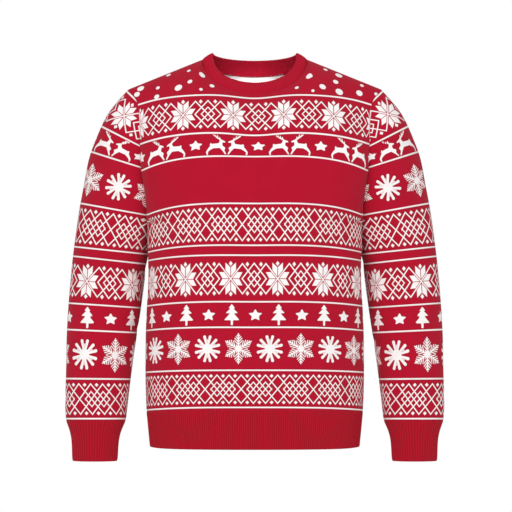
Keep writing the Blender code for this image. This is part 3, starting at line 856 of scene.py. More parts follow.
def sheet_piece(name, points, normals, stitches, wall, materials):
    """A closed piece of cloth: a fine outer skin over a coarser inner one, joined at their borders."""
    drawn, swollen = sewn(points, normals)
    bm = new_cloth()
    outside = skin(bm, swollen, stitches)
    coarse = (slice(None, None, INNER_STEP), slice(None, None, INNER_STEP))
    before = len(bm.faces)
    inside = skin(bm, (drawn - wall / MM * normals)[coarse], stitches[coarse])
    bm.faces.ensure_lookup_table()
    for face in bm.faces[before:]:
        face.material_index = 1
    rim(bm, border(outside), border(inside))
    return finished(name, bm, materials, [name])


def stitched(wale, course, figure, starts):
    return np.stack([band_wales(wale, course, starts), course, figure], axis=-1)


def tube_piece(name, outer, inner, stitches, inner_stitches, materials):
    """A closed tube of rib knit between an outer skin and a coarser inner one.

    The last column of each skin repeats its first.
    """
    bm = new_cloth()
    outside = skin(bm, outer, stitches)
    inside = skin(bm, inner, inner_stitches)
    for end in (0, -1):
        rim(bm, outside[end][:-1], inside[end][:-1])
    bmesh.ops.remove_doubles(bm, verts=bm.verts, dist=1e-6)
    return finished(name, bm, materials, [name])


# ---------------------------------------------------------------- materials


def add_node(tree, kind, *values, output=0, sockets=None, **settings):
    """Adds a node with its settings and links, and returns one of its outputs if it has any.

    Kind may name an operation too.
    """
    name, _, operation = kind.partition(" ")
    node = tree.nodes.new("ShaderNode" + name)
    if operation:
        node.operation = operation
    for setting, value in settings.items():
        setattr(node, setting, value)
    for place, value in [*enumerate(values), *(sockets or {}).items()]:
        if isinstance(value, bpy.types.NodeSocket):
            tree.links.new(value, node.inputs[place])
        elif value is not None:
            node.inputs[place].default_value = value
    return node.outputs[output] if node.outputs else None


def new_material(name):
    """A new material and its empty node tree."""
    material = bpy.data.materials.new(name)
    material.use_nodes = True
    material.node_tree.nodes.clear()
    return material, material.node_tree


def stitch_of(tree):
    """The three parts of the stitch attribute: wale, course, and figure or ridge."""
    stitch = add_node(tree, "Attribute", attribute_name="stitch", output="Vector")
    return add_node(tree, "SeparateXYZ", stitch).node.outputs


def combined(tree, kind, depths):
    """The largest or the smallest of several depths, as the kind MAXIMUM or MINIMUM says."""
    found = depths[0]
    for depth in depths[1:]:
        found = add_node(tree, "Math " + kind, found, depth)
    return found


def inside_line(tree, x, y, slope, offset):
    """How deep a point lies on the lower side of the line y = offset + slope x."""
    below = add_node(tree, "Math MULTIPLY_ADD", x, slope, offset)
    below = add_node(tree, "Math SUBTRACT", below, y)
    return add_node(tree, "Math MULTIPLY", below, 1 / math.hypot(1, slope))


def on_line(tree, x, y, slope, offset, half_width):
    """How deep a point lies inside the white line y = offset + slope x."""
    away = add_node(tree, "Math ABSOLUTE", inside_line(tree, x, y, slope, offset))
    return add_node(tree, "Math SUBTRACT", half_width, away)


def diamond(tree, x, y, centre_x, centre_y, radius):
    """How deep a point lies inside a small diamond."""
    dx = add_node(tree, "Math ABSOLUTE", add_node(tree, "Math SUBTRACT", x, centre_x))
    dy = add_node(tree, "Math ABSOLUTE", add_node(tree, "Math SUBTRACT", y, centre_y))
    reach = add_node(tree, "Math ADD", dx, dy)
    return add_node(tree, "Math MULTIPLY", add_node(tree, "Math SUBTRACT", radius, reach), math.sqrt(0.5))


def banded(tree, wale, course, upper, lower, parting):
    """Place across and height in one of two bands that share a design: x, and y as a distance from its middle.

    Upper and lower give each band's middle course, and how many times its design is stretched both ways.
    """
    below = add_node(tree, "Math LESS_THAN", course, parting)
    wide = add_node(tree, "Math MULTIPLY_ADD", below, 1 / lower.width - 1 / upper.width, 1 / upper.width)
    high = add_node(tree, "Math MULTIPLY_ADD", below, 1 / lower.height - 1 / upper.height, 1 / upper.height)
    middle = add_node(tree, "Math MULTIPLY_ADD", below, lower.course - upper.course, upper.course)
    from_middle = add_node(tree, "Math ABSOLUTE", add_node(tree, "Math SUBTRACT", course, middle))
    return add_node(tree, "Math MULTIPLY", wale, wide), add_node(tree, "Math MULTIPLY", from_middle, high)


Design = namedtuple("Design", "course width height")
UPPER_STARS = Design(-99.0, 87.5 / 88.0, 1.0)
LOWER_STARS = Design(-382.6, 81.0 / 88.0, 1.25)
UPPER_NET = Design(-287.6, 1.0, 1.105)
LOWER_NET = Design(-577.2, 1.0, 1.0)
UPPER_FLAKES = Design(-212.0, 1.0, 1.0)
LOWER_FLAKES = Design(-505.2, 1.0, 1.03)
STARS_PART = -240.0
NETS_PART = -430.0
FLAKES_PART = -360.0
INNER_LINE = 0.9  # how wide the inner lines of a lattice or a net are, as a share of its outer ones

Edge = namedtuple("Edge", "slope offset")
Diamond = namedtuple("Diamond", "x y radius")
Petal = namedtuple("Petal", "inner outer tip")
STAR_REPEAT = 88.0
STAR_SLOPE = 0.96
LATTICE_OUTER = 22.7  # how far from the lattice's middle its outer lines meet on the middle of the band
LATTICE_INNER = 11.6  # the same for its inner lines
PETAL_GAP = 1.0  # red between a petal and the white line beside it
UPRIGHT_PETAL = Petal(0.7, 9.8, Edge(0.69, 15.7))
LEVEL_PETAL = Petal(0.5, 9.2, Edge(0.72, 15.4))
STAR_DOT = Diamond(0.0, 21.3, 3.5)
LATTICE_DOT = Diamond(12.7, 20.4, 3.4)

NET_PITCH = 21.0
NET_HALF_CELL = 12.85
CLUSTER_HALF_WIDTH = NET_PITCH + 1.0
NET_DOT = Diamond(0.0, 24.0, 3.3)

# Parts along the arms of a snowflake: thick lines with round ends, each end with its own radius.
Spoke = namedtuple("Spoke", "near far near_radius far_radius")
FLAKE_REPEAT = 108.3
HEART_RADIUS = 8.6
LOBE = Spoke(5.0, 20.8, 1.2, 2.5)
LOBE_TURN = math.radians(13.5)  # each lobe of a pair leans this far from the pair's middle
WEB = Spoke(8.0, 15.4, 0.5, 0.9)
STEM = Spoke(0.0, 24.8, 1.3, 0.8)
FEATHER_HALF_WIDTH = 7.4
FEATHER_TIP = Edge(-1.25, 26.6)
FEATHER_PITCH = 4.6
FEATHER_CUT = 0.85  # half the width of the red between two branches of an arm, on its stem
FEATHER_OPENING = 0.08  # how much wider that gets with each millimetre from the stem


def turned_arm(tree, x, y, lean):
    """Points turned onto the upright one of six arms, or onto a line that leans from it: place across and along."""
    turn = add_node(tree, "Math PINGPONG", add_node(tree, "Math ARCTAN2", x, y), math.pi / 6)
    turn = add_node(tree, "Math SUBTRACT", turn, lean)
    radius = add_node(tree, "VectorMath LENGTH", add_node(tree, "CombineXYZ", x, y, 0.0), output="Value")
    across = add_node(tree, "Math MULTIPLY", radius, add_node(tree, "Math SINE", turn))
    reach = add_node(tree, "Math MULTIPLY", radius, add_node(tree, "Math COSINE", turn))
    return add_node(tree, "Math ABSOLUTE", across), reach, radius


def on_arm(tree, across, reach, near, far, near_radius, far_radius):
    """How deep a point lies inside a thick line with round ends along an arm."""
    at = add_node(tree, "Clamp", reach, near, far)
    past = add_node(tree, "Math SUBTRACT", reach, at)
    away = add_node(tree, "VectorMath LENGTH", add_node(tree, "CombineXYZ", across, past, 0.0), output="Value")
    widening = (far_radius - near_radius) / (far - near)
    radius = add_node(tree, "Math MULTIPLY_ADD", at, widening, near_radius - near * widening)
    return add_node(tree, "Math SUBTRACT", radius, away)


def flakes(tree, wale, course, figure):
    """Snowflakes by turns, one of twelve round lobes in pairs and one of six feathery arms."""
    x, y = banded(tree, wale, course, UPPER_FLAKES, LOWER_FLAKES, FLAKES_PART)
    from_flower = add_node(tree, "Math PINGPONG", x, FLAKE_REPEAT / 2)
    from_crystal = add_node(tree, "Math SUBTRACT", FLAKE_REPEAT / 2, from_flower)
    across, reach, radius = turned_arm(tree, from_flower, y, LOBE_TURN)
    lobe = on_arm(tree, across, reach, *LOBE)
    heart = add_node(tree, "Math SUBTRACT", HEART_RADIUS, radius)
    across, reach, _ = turned_arm(tree, from_flower, y, 0.0)
    web = on_arm(tree, across, reach, *WEB)
    across, reach, _ = turned_arm(tree, from_crystal, y, 0.0)
    branch = add_node(tree, "Math PINGPONG", add_node(tree, "Math SUBTRACT", reach, across), FEATHER_PITCH / 2)
    cut = add_node(tree, "Math MULTIPLY_ADD", across, FEATHER_OPENING, FEATHER_CUT)
    feather = [
        add_node(tree, "Math SUBTRACT", branch, cut),
        add_node(tree, "Math SUBTRACT", FEATHER_HALF_WIDTH, across),
        inside_line(tree, across, reach, *FEATHER_TIP),
    ]
    stem = on_arm(tree, across, reach, *STEM)
    found = combined(tree, "MAXIMUM", [lobe, heart, web, combined(tree, "MINIMUM", feather), stem])
    return add_node(tree, "Math MINIMUM", found, add_node(tree, "Math ADD", figure, -2 * NO_FIGURE))


def petal(tree, side, length, beside, gap, shape):
    """How deep a point lies inside half a petal of a star, clear of the line beside it and with a slanted tip."""
    edges = [
        add_node(tree, "Math SUBTRACT", side, shape.inner),
        add_node(tree, "Math SUBTRACT", shape.outer, side),
        add_node(tree, "Math SUBTRACT", beside, gap),
        inside_line(tree, side, length, *shape.tip),
    ]
    return combined(tree, "MINIMUM", edges)


def star_lattice(tree, wale, course, half_line):
    """Eight-petalled stars, and between them a lattice of diamonds."""
    x, y = banded(tree, wale, course, UPPER_STARS, LOWER_STARS, STARS_PART)
    from_star = add_node(tree, "Math PINGPONG", x, STAR_REPEAT / 2)
    from_lattice = add_node(tree, "Math SUBTRACT", STAR_REPEAT / 2, from_star)
    from_either = add_node(tree, "Math PINGPONG", x, STAR_REPEAT / 4)
    lines = [
        on_line(tree, from_either, y, STAR_SLOPE, 0.0, half_line),
        on_line(tree, from_lattice, y, -STAR_SLOPE, LATTICE_OUTER * STAR_SLOPE, half_line),
        on_line(tree, from_lattice, y, -STAR_SLOPE, LATTICE_INNER * STAR_SLOPE, half_line * INNER_LINE),
    ]
    below = inside_line(tree, from_star, y, STAR_SLOPE, 0.0)
    above = add_node(tree, "Math MULTIPLY", below, -1.0)
    gap = half_line + PETAL_GAP
    upright = petal(tree, from_star, y, above, gap, UPRIGHT_PETAL)
    level = petal(tree, y, from_star, below, gap, LEVEL_PETAL)
    dots = [diamond(tree, from_star, y, *STAR_DOT), diamond(tree, from_lattice, y, *LATTICE_DOT)]
    return combined(tree, "MAXIMUM", [*lines, upright, level, *dots])


def net(tree, wale, course, half_line):
    """A net of diamonds with clusters of half-size ones, and dots along both edges."""
    x, y = banded(tree, wale, course, UPPER_NET, LOWER_NET, NETS_PART)
    slope = NET_HALF_CELL / (NET_PITCH / 2)
    across = add_node(tree, "Math PINGPONG", x, NET_PITCH / 2)
    from_cluster = add_node(tree, "Math PINGPONG", x, 1.5 * NET_PITCH)
    from_cell = add_node(tree, "Math ABSOLUTE", add_node(tree, "Math SUBTRACT", y, NET_HALF_CELL))
    small = [
        on_line(tree, across, y, slope, 0.0, half_line * INNER_LINE),
        add_node(tree, "Math SUBTRACT", CLUSTER_HALF_WIDTH, from_cluster),
    ]
    white = [
        on_line(tree, across, from_cell, slope, 0.0, half_line),
        combined(tree, "MINIMUM", small),
        diamond(tree, across, y, *NET_DOT),
    ]
    return combined(tree, "MAXIMUM", white)


def stitch_relief(tree, wale, course, wale_width, course_height):
    """The relief of stocking stitch: columns of V stitches with a groove between them, from 0 to 1."""
    across = add_node(tree, "Math PINGPONG", wale, wale_width / 2)
    leg = add_node(tree, "Math MULTIPLY", across, math.pi / wale_width * 2)
    column = add_node(tree, "Math SINE", leg)
    slanted = add_node(tree, "Math MULTIPLY_ADD", across, 0.9, course)
    turns = add_node(tree, "Math MULTIPLY", slanted, 2 * math.pi / course_height)
    row = add_node(tree, "Math MULTIPLY_ADD", add_node(tree, "Math SINE", turns), 0.25, 0.5)
    return add_node(tree, "Math MULTIPLY", add_node(tree, "Math POWER", column, 0.6), row)


# Painted shade: red stitches are drawn darker beside white ones, where they sink a little: how far out they are
# darkest, and what is left of their colour.
PAINTED_SHADE_PLACE = 1.0
PAINTED_RIM_SHADE = 0.8
OUTLINE_BLUR = 0.3  # how far white fades into red on either side of an outline
WHITE_RISE = 0.35  # how far white stitches stand above red ones, as a share of the relief
RELIEF_DEPTH = 0.5 * MM


def dyed_and_shaded(tree, shade):
    """How evenly the wool took its colour: fine flecks, times the factor that its material gives, which is uneven
    dye on the jacquard and painted shade between the ribs of a rib.
    """
    place = add_node(tree, "TexCoord", output="Object")
    noise = {"Vector": place, "Scale": 900.0, "Detail": 3.0, "Roughness": 0.7}
    flecks = add_node(tree, "TexNoise", output="Fac", sockets=noise)
    return add_node(tree, "Math MULTIPLY", add_node(tree, "Math MULTIPLY_ADD", flecks, 0.34, 0.83), shade)


def finish_cloth(tree, colour, tint, relief, sheen):
    """Gives a material its yarn colour times a tint, which holds uneven dye and any painted shade, and its matt
    surface, fuzz and relief.
    """
    shaded = add_node(
        tree, "Mix", 1.0, data_type="RGBA", blend_type="MULTIPLY", output=2, sockets={6: colour, 7: tint}
    )
    bump = add_node(
        tree, "Bump", output="Normal", sockets={"Height": relief, "Distance": RELIEF_DEPTH, "Strength": 0.6}
    )
    shader = add_node(
        tree,
        "BsdfPrincipled",
        sockets={
            "Base Color": shaded,
            "Roughness": 0.92,
            "IOR": 1.45,
            "Specular IOR Level": 0.1,
            "Sheen Weight": sheen,
            "Sheen Roughness": 0.5,
            "Normal": bump,
        },
    )
    add_node(tree, "OutputMaterial", sockets={"Surface": shader})


def knit_face(tree, settings, pattern):
    """Merino jacquard, knitted fine in two colours: matt, with a soft fuzz that catches the light at its edges, and
    shade painted on the red beside white figures.
    """
    wale, course, figure = stitch_of(tree)
    half_line = pattern.line_width / MM / 2
    middles = [row.knit for row in BODY_COURSES[:-1]] + [BODY_COURSES[-1].knit + half_line]
    from_lines = [
        add_node(tree, "Math ABSOLUTE", add_node(tree, "Math SUBTRACT", course, middle)) for middle in middles
    ]
    line = add_node(tree, "Math SUBTRACT", half_line, combined(tree, "MINIMUM", from_lines))
    half_lattice = pattern.lattice_width / MM / 2
    designs = [design(tree, wale, course, half_lattice) for design in (star_lattice, net)]
    depth = combined(tree, "MAXIMUM", [figure, line, flakes(tree, wale, course, figure), *designs])
    white = add_node(tree, "MapRange", depth, -OUTLINE_BLUR, OUTLINE_BLUR, 0.0, 1.0)
    # Painted shade: the red is drawn darker just outside each white figure, darkest about a millimetre out, and the
    # tint below is multiplied by it.
    from_rim = add_node(tree, "Math ABSOLUTE", add_node(tree, "Math ADD", depth, PAINTED_SHADE_PLACE))
    painted_rim_shade = add_node(tree, "MapRange", from_rim, 0.0, PAINTED_SHADE_PLACE, PAINTED_RIM_SHADE, 1.0)
    place = add_node(tree, "TexCoord", output="Object")
    patch = add_node(tree, "TexNoise", output="Fac", sockets={"Vector": place, "Scale": 24.0, "Detail": 2.0})
    tint = dyed_and_shaded(tree, add_node(tree, "Math MULTIPLY_ADD", patch, 0.16, 0.92))
    tint = add_node(tree, "Math MULTIPLY", tint, painted_rim_shade)
    yarns = {6: tuple(settings.red), 7: tuple(settings.white)}
    colour = add_node(tree, "Mix", white, data_type="RGBA", output="Result", sockets=yarns)
    relief = stitch_relief(tree, wale, course, pattern.wale_width / MM, pattern.course_height / MM)
    raised = add_node(tree, "Math MULTIPLY_ADD", white, WHITE_RISE, relief)
    finish_cloth(tree, colour, tint, raised, sheen=0.06)


def knit_reverse(tree, settings, pattern):
    """Reverse of the jacquard: white yarn carried loose across it, so it looks paler and more even."""
    wale, course, _ = stitch_of(tree)
    place = add_node(tree, "TexCoord", output="Object")
    fleck = add_node(tree, "TexNoise", output="Fac", sockets={"Vector": place, "Scale": 500.0, "Detail": 3.0})
    tint = add_node(tree, "Math MULTIPLY_ADD", fleck, 0.2, 0.9)
    relief = stitch_relief(tree, course, wale, pattern.course_height / MM, 3 * pattern.wale_width / MM)
    finish_cloth(tree, tuple(settings.reverse), tint, relief, sheen=0.15)


def knit_rib(tree, red, pattern):
    """Merino rib, knitted in one colour: matt, with shade painted darker between its ribs, where they shade each
    other.
    """
    wale, course, ridge = stitch_of(tree)
    # Painted shade: the yarn is drawn darker in the grooves, from the ridge height in the stitch attribute.
    tint = dyed_and_shaded(tree, add_node(tree, "Math MULTIPLY_ADD", ridge, 0.32, 0.76))
    relief = stitch_relief(tree, wale, course, pattern.wale_width / MM, pattern.course_height / MM)
    finish_cloth(tree, tuple(red), tint, relief, sheen=0.06)


def cloth_material(name, knit, *values):
    """The material of this name, which its function knits when it is first asked for."""
    material = bpy.data.materials.get(name)
    if material is None:
        material, tree = new_material(name)
        knit(tree, *values)
    return material


def jacquard_materials(settings, pattern):
    """The patterned face of the jacquard and its reverse."""
    return [
        cloth_material("merino_jacquard", knit_face, settings, pattern),
        cloth_material("merino_jacquard_reverse", knit_reverse, settings, pattern),
    ]


# ---------------------------------------------------------------- ribs


def rib_wave(count, parts):
    """The height of each point round a ribbed tube, from 0 between ribs to 1 on them; the last repeats the first."""
    turn = np.arange(count * parts + 1) / parts * 2 * math.pi
    return (0.5 - 0.5 * np.cos(turn)) ** RIB_POWER


def body_ring(height, ribs):
    """A ring round the body, from the -X side seam by the front and back again."""
    column = np.linspace(0.0, COLUMNS, ribs * POINTS_PER_RIB // 2 + 1)
    place = round_chest(column)
    x = place * smooth(BODY_ROWS, "half_width", height)
    front = -depth_share(place) * smooth(BODY_ROWS, "front_depth", height)
    back = depth_share(place) * smooth(BODY_ROWS, "back_depth", height)
    z = height + HEM_CORNER_RISE * np.abs(place) ** HEM_CORNER_POWER
    return np.concatenate([np.stack([x, front, z], axis=-1), np.stack([-x, back, z], axis=-1)[1:]])


def seam_ring(ribs):
    """The hem seam, in the same order."""
    column = np.linspace(0.0, COLUMNS, ribs * POINTS_PER_RIB // 2 + 1)
    front = panel_points(FRONT, FRONT_FOLDS, column, [0.0])[0]
    back = panel_points(BACK, BACK_FOLDS, column[::-1], [0.0])[0]
    return np.concatenate([front, back[1:]])


def band_ring(share, ribs):
    """A ring of the neckband, from its seam at 0 to its top at 1, from the -X shoulder by the front."""
    turn = np.linspace(0.0, math.pi, ribs * POINTS_PER_RIB // 2 + 1)
    swollen = BAND_SWELL * math.sin(share * math.pi)
    halves = []
    for panel, way, fullness in ((FRONT, -1.0, BAND_FULLNESS), (BACK, 1.0, 1.0)):
        x = way * blend(NECK_HALF_WIDTH, BAND_HALF_WIDTH, share) * np.cos(turn)
        depth = (blend(panel.neck_depth, panel.band_depth, share) + swollen) * np.sin(turn)
        low = -panel.neck_drop * np.sin(turn)
        high = BAND_SIDE_TOP + (panel.band_top - BAND_SIDE_TOP) * np.maximum(np.sin(turn), 0.0) ** fullness
        z = blend(low, high, share) + swollen * np.abs(np.cos(turn))
        halves.append(np.stack([x, panel.side * depth, z], axis=-1))
    return np.concatenate([halves[0], halves[1][1:]])


def cuff_rings(rows):
    """Rings of the cuff on the +X side, from the sleeve's last ring down, from its inner edge by the front."""
    turn = np.linspace(0.0, 2 * math.pi, CUFF_RIBS * POINTS_PER_RIB + 1)
    rings = [sleeve_points(turn, np.array([float(len(SLEEVE_ROWS))]))[0]]
    for row in CUFF_ROWS:
        x = row.centre_x - row.half_width * np.cos(turn)
        y = row.back - row.half_depth * np.sin(turn)
        rings.append(np.stack([x, y, np.full_like(x, row.height)], axis=-1))
    stations = np.array([0.0, *(SLEEVE_ROWS[-1].outer_z - row.height for row in CUFF_ROWS)])
    return through(stations, np.array(rings), np.linspace(0.0, stations[-1], rows))


def seamed(rings, wave):
    """How far a ribbed tube's points stand out from its plain rings: the ribs fade at its seam, the first ring."""
    return wave * (1 - np.exp(-((np.linalg.norm(rings - rings[:1], axis=-1) / SEAM_SWELL_PLACE) ** 2)))


def rib_tube(name, plain, ribs, settings, materials):
    """A ribbed tube from its plain rings, with its free edge, the last ring, rounded over."""
    centres = plain.mean(axis=1, keepdims=True)
    normals = normals_of(plain, centres, True)
    ridges = np.broadcast_to(rib_wave(ribs, POINTS_PER_RIB), plain.shape[:2])
    # The ridge height goes into the stitch attribute, from which the rib material paints shade in the grooves.
    stitches = np.stack([along(plain, 1), along(plain, 0), ridges], axis=-1)
    wave = rib_wave(ribs, POINTS_PER_RIB) * settings.rib_height / MM
    from_edge = np.linalg.norm(plain - plain[-1:], axis=-1)
    wall = settings.rib_wall / MM
    rounding = (wall / 2) * (1 - np.sqrt(np.clip(1 - np.maximum(1 - from_edge / wall, 0.0) ** 2, 0.0, 1.0)))
    outer = plain + normals * (seamed(plain, wave) - rounding)[..., None]
    outer[0] += unit(plain[1] - plain[0]) * SEAM_GAP / 2
    coarse = (slice(None, None, INNER_STEP), slice(None, None, POINTS_PER_RIB))
    inner = (plain - normals * wall)[coarse]
    return tube_piece(name, outer, inner, stitches, stitches[coarse], materials)


# ---------------------------------------------------------------- operators


class JUMPER_OT_panels(bpy.types.Operator):
    """Knit the front and the back"""

    bl_idname = "jumper.panels"
    bl_label = "Front and back"

    def execute(self, context):
        settings, pattern = context.scene.jumper_knit, context.scene.jumper_pattern
        materials = jacquard_materials(settings, pattern)
        column = np.linspace(0.0, COLUMNS, PANEL_COLUMNS + 1)
        cut = {
            "front": (FRONT, FRONT_FOLDS, FRONT_CREASES, FRONT_SNOW, 1.0, (0.516, 0.615), 0.279),
            "back": (BACK, BACK_FOLDS, BACK_CREASES, BACK_SNOW, 0.0, (0.502, 0.638), 0.288),
        }
        for name, (panel, folds, creases, dots, dips, size, area) in cut.items():
            points = panel_points(panel, folds, column, panel_rows())
            centres = points * np.array([0.0, 0.0, 1.0])
            points = creased(points, normals_of(points, centres, False), creases)
            normals = normals_of(points, centres, False)
            flat = laid_flat(points)
            wale, course = body_wales(points), body_courses(flat, dips)
            figure = np.maximum(figures(wale, course, "body_start"), snow(points, flat, dots))
            stitches = stitched(wale, course, figure, "body_start")
            piece = sheet_piece(name, points, normals, stitches, settings.wall, materials)
        return {"FINISHED"}


class JUMPER_OT_sleeves(bpy.types.Operator):
    """Knit the two sleeves"""

    bl_idname = "jumper.sleeves"
    bl_label = "Sleeves"

    def execute(self, context):
        settings, pattern = context.scene.jumper_knit, context.scene.jumper_pattern
        materials = jacquard_materials(settings, pattern)
        turn = np.linspace(0.0, 2 * math.pi, SLEEVE_COLUMNS + 1)
        station = np.linspace(0.0, len(SLEEVE_ROWS), SLEEVE_LENGTHS + 1)
        arm = sleeve_points(turn, station)
        for name, side, starts, creases in (
            ("sleeve_left", -1.0, "left_start", LEFT_ARM_CREASES),
            ("sleeve_right", 1.0, "right_start", RIGHT_ARM_CREASES),
        ):
            points = arm * np.array([side, 1.0, 1.0])
            centres = points.mean(axis=1, keepdims=True)
            points = arm_creased(points, normals_of(points, centres, True), turn, creases)
            normals = normals_of(points, centres, True)
            wale, course = arm_courses(laid_flat(points), turn)
            stitches = stitched(wale, course, figures(wale, course, starts), starts)
            piece = sheet_piece(name, points, normals, stitches, settings.wall, materials)
        return {"FINISHED"}


class JUMPER_OT_neckband(bpy.types.Operator):
    """Knit the ribbed neckband, folded double"""

    bl_idname = "jumper.neckband"
    bl_label = "Neckband"

    def execute(self, context):
        settings, pattern = context.scene.jumper_knit, context.scene.jumper_pattern
        half = settings.band_wall / MM / 2
        shares = np.linspace(0.0, BAND_TURNED, BAND_ROWS)
        rings = np.array([band_ring(share, NECK_RIBS) for share in shares])
        centres = rings.mean(axis=1, keepdims=True)
        normals = normals_of(rings, centres, True)
        middle = rings - half * normals
        ridges = rib_wave(NECK_RIBS, POINTS_PER_RIB)
        wave = (ridges * settings.rib_height / MM)[None, :, None]
        outer = rings + normals * seamed(rings, wave[..., 0])[..., None]
        outer[0] += unit(rings[1] - rings[0]) * SEAM_GAP / 2
        inner = middle - normals * (half + BAND_INNER_RIB * wave)
        up = unit(rings[-1] - rings[-2])
        top = []
        for angle in np.linspace(0.0, math.pi, BAND_TURNS)[1:-1]:
            outward = normals[-1] * math.cos(angle) + up * math.sin(angle)
            top.append(middle[-1] + outward * (half + BAND_TOP_RIB * wave[0]))
        points = np.concatenate([outer, np.array(top), inner[::-1]])
        # Painted shade: the ridges stored for the neckband keep its grooves only a little darker than its ribs.
        ridges = np.broadcast_to(BAND_GROOVE_PAINTED_LIGHTNESS + (1 - BAND_GROOVE_PAINTED_LIGHTNESS) * ridges, points.shape[:2])
        stitches = np.stack([along(points, 1), along(points, 0), ridges], axis=-1)
        bm = new_cloth()
        grid = skin(bm, points, stitches)
        rim(bm, grid[0][:-1], grid[-1][:-1])
        bmesh.ops.remove_doubles(bm, verts=bm.verts, dist=1e-6)
        rib = cloth_material("merino_rib_neckband", knit_rib, settings.red, pattern)
        piece = finished("neckband", bm, [rib], ["neckband"])
        return {"FINISHED"}


class JUMPER_OT_hem(bpy.types.Operator):
    """Knit the ribbed hem"""

    bl_idname = "jumper.hem"
    bl_label = "Hem rib"

    def execute(self, context):
        settings, pattern = context.scene.jumper_knit, context.scene.jumper_pattern
        shares = 1 - np.linspace(1.0, 0.0, RIB_ROWS + 1) ** HEM_CROWDING
        seam, bottom = seam_ring(BODY_RIBS), body_ring(HEM_BOTTOM, BODY_RIBS)
        plain = blend(seam[None], bottom[None], shares[:, None, None])
        rib = cloth_material("merino_rib", knit_rib, settings.rib_red, pattern)
        piece = rib_tube("hem_rib", plain, BODY_RIBS, settings, [rib])
        return {"FINISHED"}


class JUMPER_OT_cuffs(bpy.types.Operator):
    """Knit the two ribbed cuffs"""

    bl_idname = "jumper.cuffs"
    bl_label = "Cuffs"

    def execute(self, context):
        settings, pattern = context.scene.jumper_knit, context.scene.jumper_pattern
        plain = cuff_rings(RIB_ROWS + 1)
        rib = cloth_material("merino_rib", knit_rib, settings.rib_red, pattern)
        for side, name, arm in ((-1.0, "cuff_left", "sleeve_left"), (1.0, "cuff_right", "sleeve_right")):
            rings = plain * np.array([side, 1.0, 1.0])
            piece = rib_tube(name, rings, CUFF_RIBS, settings, [rib])
        return {"FINISHED"}


def area_light(name, energy, size, place, aim, spread=180.0):
    """A square softbox at a place, turned to its aim; spread is the angle of its light in degrees."""
    data = bpy.data.lights.new(name, "AREA")
    data.energy = energy
    data.size = size
    data.spread = math.radians(spread)
    light = bpy.data.objects.new(name, data)
    light.location = place
    light.rotation_euler = (Vector(aim) - Vector(place)).to_track_quat("-Z", "Y").to_euler()
    bpy.context.scene.collection.objects.link(light)


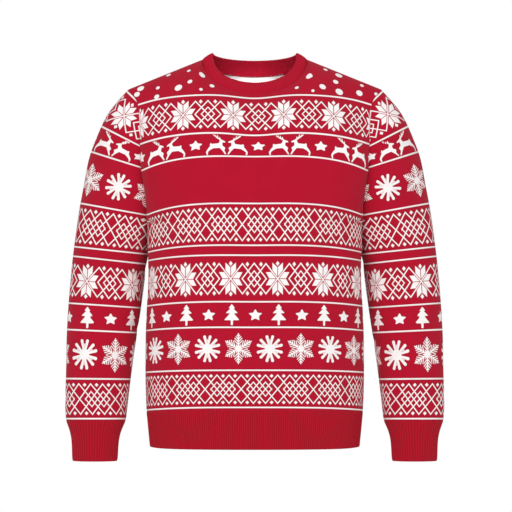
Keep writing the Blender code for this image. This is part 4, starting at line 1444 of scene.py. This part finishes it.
class JUMPER_OT_stage(bpy.types.Operator):
    """Set up the camera, the floor and the light"""

    bl_idname = "jumper.stage"
    bl_label = "Stage"

    def execute(self, context):
        settings = context.scene.jumper_stage
        aim = Vector(settings.aim)
        data = bpy.data.cameras.new("camera")
        data.sensor_width = 36.0
        data.lens = data.sensor_width * settings.distance / settings.view_width
        data.clip_end = 100.0
        camera = bpy.data.objects.new("camera", data)
        camera.location = aim - Vector((0.0, settings.distance, 0.0))
        camera.rotation_euler = (math.radians(90.0), 0.0, 0.0)
        context.scene.collection.objects.link(camera)
        context.scene.camera = camera

        bm = bmesh.new()
        bmesh.ops.create_circle(bm, cap_ends=True, segments=96, radius=2.5)
        bmesh.ops.translate(bm, verts=bm.verts, vec=(0.0, 0.0, settings.floor_height))
        mesh = bpy.data.meshes.new("floor")
        bm.to_mesh(mesh)
        bm.free()
        material, tree = new_material("painted_floor")
        place = add_node(tree, "TexCoord", output="Object")
        grain = add_node(tree, "TexNoise", output="Fac", sockets={"Vector": place, "Scale": 60.0})
        tint = add_node(tree, "Math MULTIPLY_ADD", grain, 0.02, 0.98)
        paint = {"Base Color": linear("#F2F1EF"), "Roughness": 0.8, "Specular IOR Level": tint}
        shader = add_node(tree, "BsdfPrincipled", sockets=paint)
        add_node(tree, "OutputMaterial", sockets={"Surface": shader})
        mesh.materials.append(material)
        floor = bpy.data.objects.new("floor", mesh)
        context.scene.collection.objects.link(floor)

        world = bpy.data.worlds.new("studio")
        world.use_nodes = True
        tree = world.node_tree
        tree.nodes.clear()
        seen = add_node(tree, "Background", (1.0, 1.0, 1.0, 1.0), 1.0)
        light = add_node(tree, "Background", (1.0, 0.99, 0.98, 1.0), settings.fill)
        is_camera = add_node(tree, "LightPath", output="Is Camera Ray")
        mixed = add_node(tree, "MixShader", is_camera, light, seen)
        add_node(tree, "OutputWorld", sockets={"Surface": mixed})
        context.scene.world = world
        context.scene.view_settings.view_transform = "Standard"

        area_light("key", energy=61.0, size=2.2, place=(-1.4, -3.4, 1.4), aim=aim)
        area_light("second", energy=28.5, size=2.4, place=(2.0, -3.2, 0.4), aim=aim)
        neck, back_of_neck = (0.0, -0.03, -0.13), (0.0, 0.06, -0.085)
        area_light("inside", energy=0.06, size=0.08, place=neck, aim=back_of_neck, spread=50.0)
        return {"FINISHED"}


class JUMPER_PT_panel(bpy.types.Panel):
    """Lists the pieces of the jumper and their settings"""

    bl_label = "Christmas jumper"
    bl_idname = "JUMPER_PT_panel"
    bl_space_type = "VIEW_3D"
    bl_region_type = "UI"
    bl_category = "Jumper"

    def draw(self, context):
        for group in ("jumper_knit", "jumper_pattern", "jumper_stage"):
            settings = getattr(context.scene, group)
            for name in settings.__annotations__:
                self.layout.prop(settings, name)
        for operator in OPERATORS:
            self.layout.operator(operator.bl_idname)


OPERATORS = (
    JUMPER_OT_panels,
    JUMPER_OT_sleeves,
    JUMPER_OT_neckband,
    JUMPER_OT_hem,
    JUMPER_OT_cuffs,
    JUMPER_OT_stage,
)
CLASSES = (JumperKnit, JumperPattern, JumperStage, *OPERATORS, JUMPER_PT_panel)


def register():
    for item in CLASSES:
        bpy.utils.register_class(item)
    bpy.types.Scene.jumper_knit = bpy.props.PointerProperty(type=JumperKnit)
    bpy.types.Scene.jumper_pattern = bpy.props.PointerProperty(type=JumperPattern)
    bpy.types.Scene.jumper_stage = bpy.props.PointerProperty(type=JumperStage)


def unregister():
    del bpy.types.Scene.jumper_stage
    del bpy.types.Scene.jumper_pattern
    del bpy.types.Scene.jumper_knit
    for item in reversed(CLASSES):
        bpy.utils.unregister_class(item)


def main():
    register()
    bpy.ops.jumper.panels()
    bpy.ops.jumper.sleeves()
    bpy.ops.jumper.neckband()
    bpy.ops.jumper.hem()
    bpy.ops.jumper.cuffs()
    bpy.ops.jumper.stage()


if __name__ == "__main__":
    main()
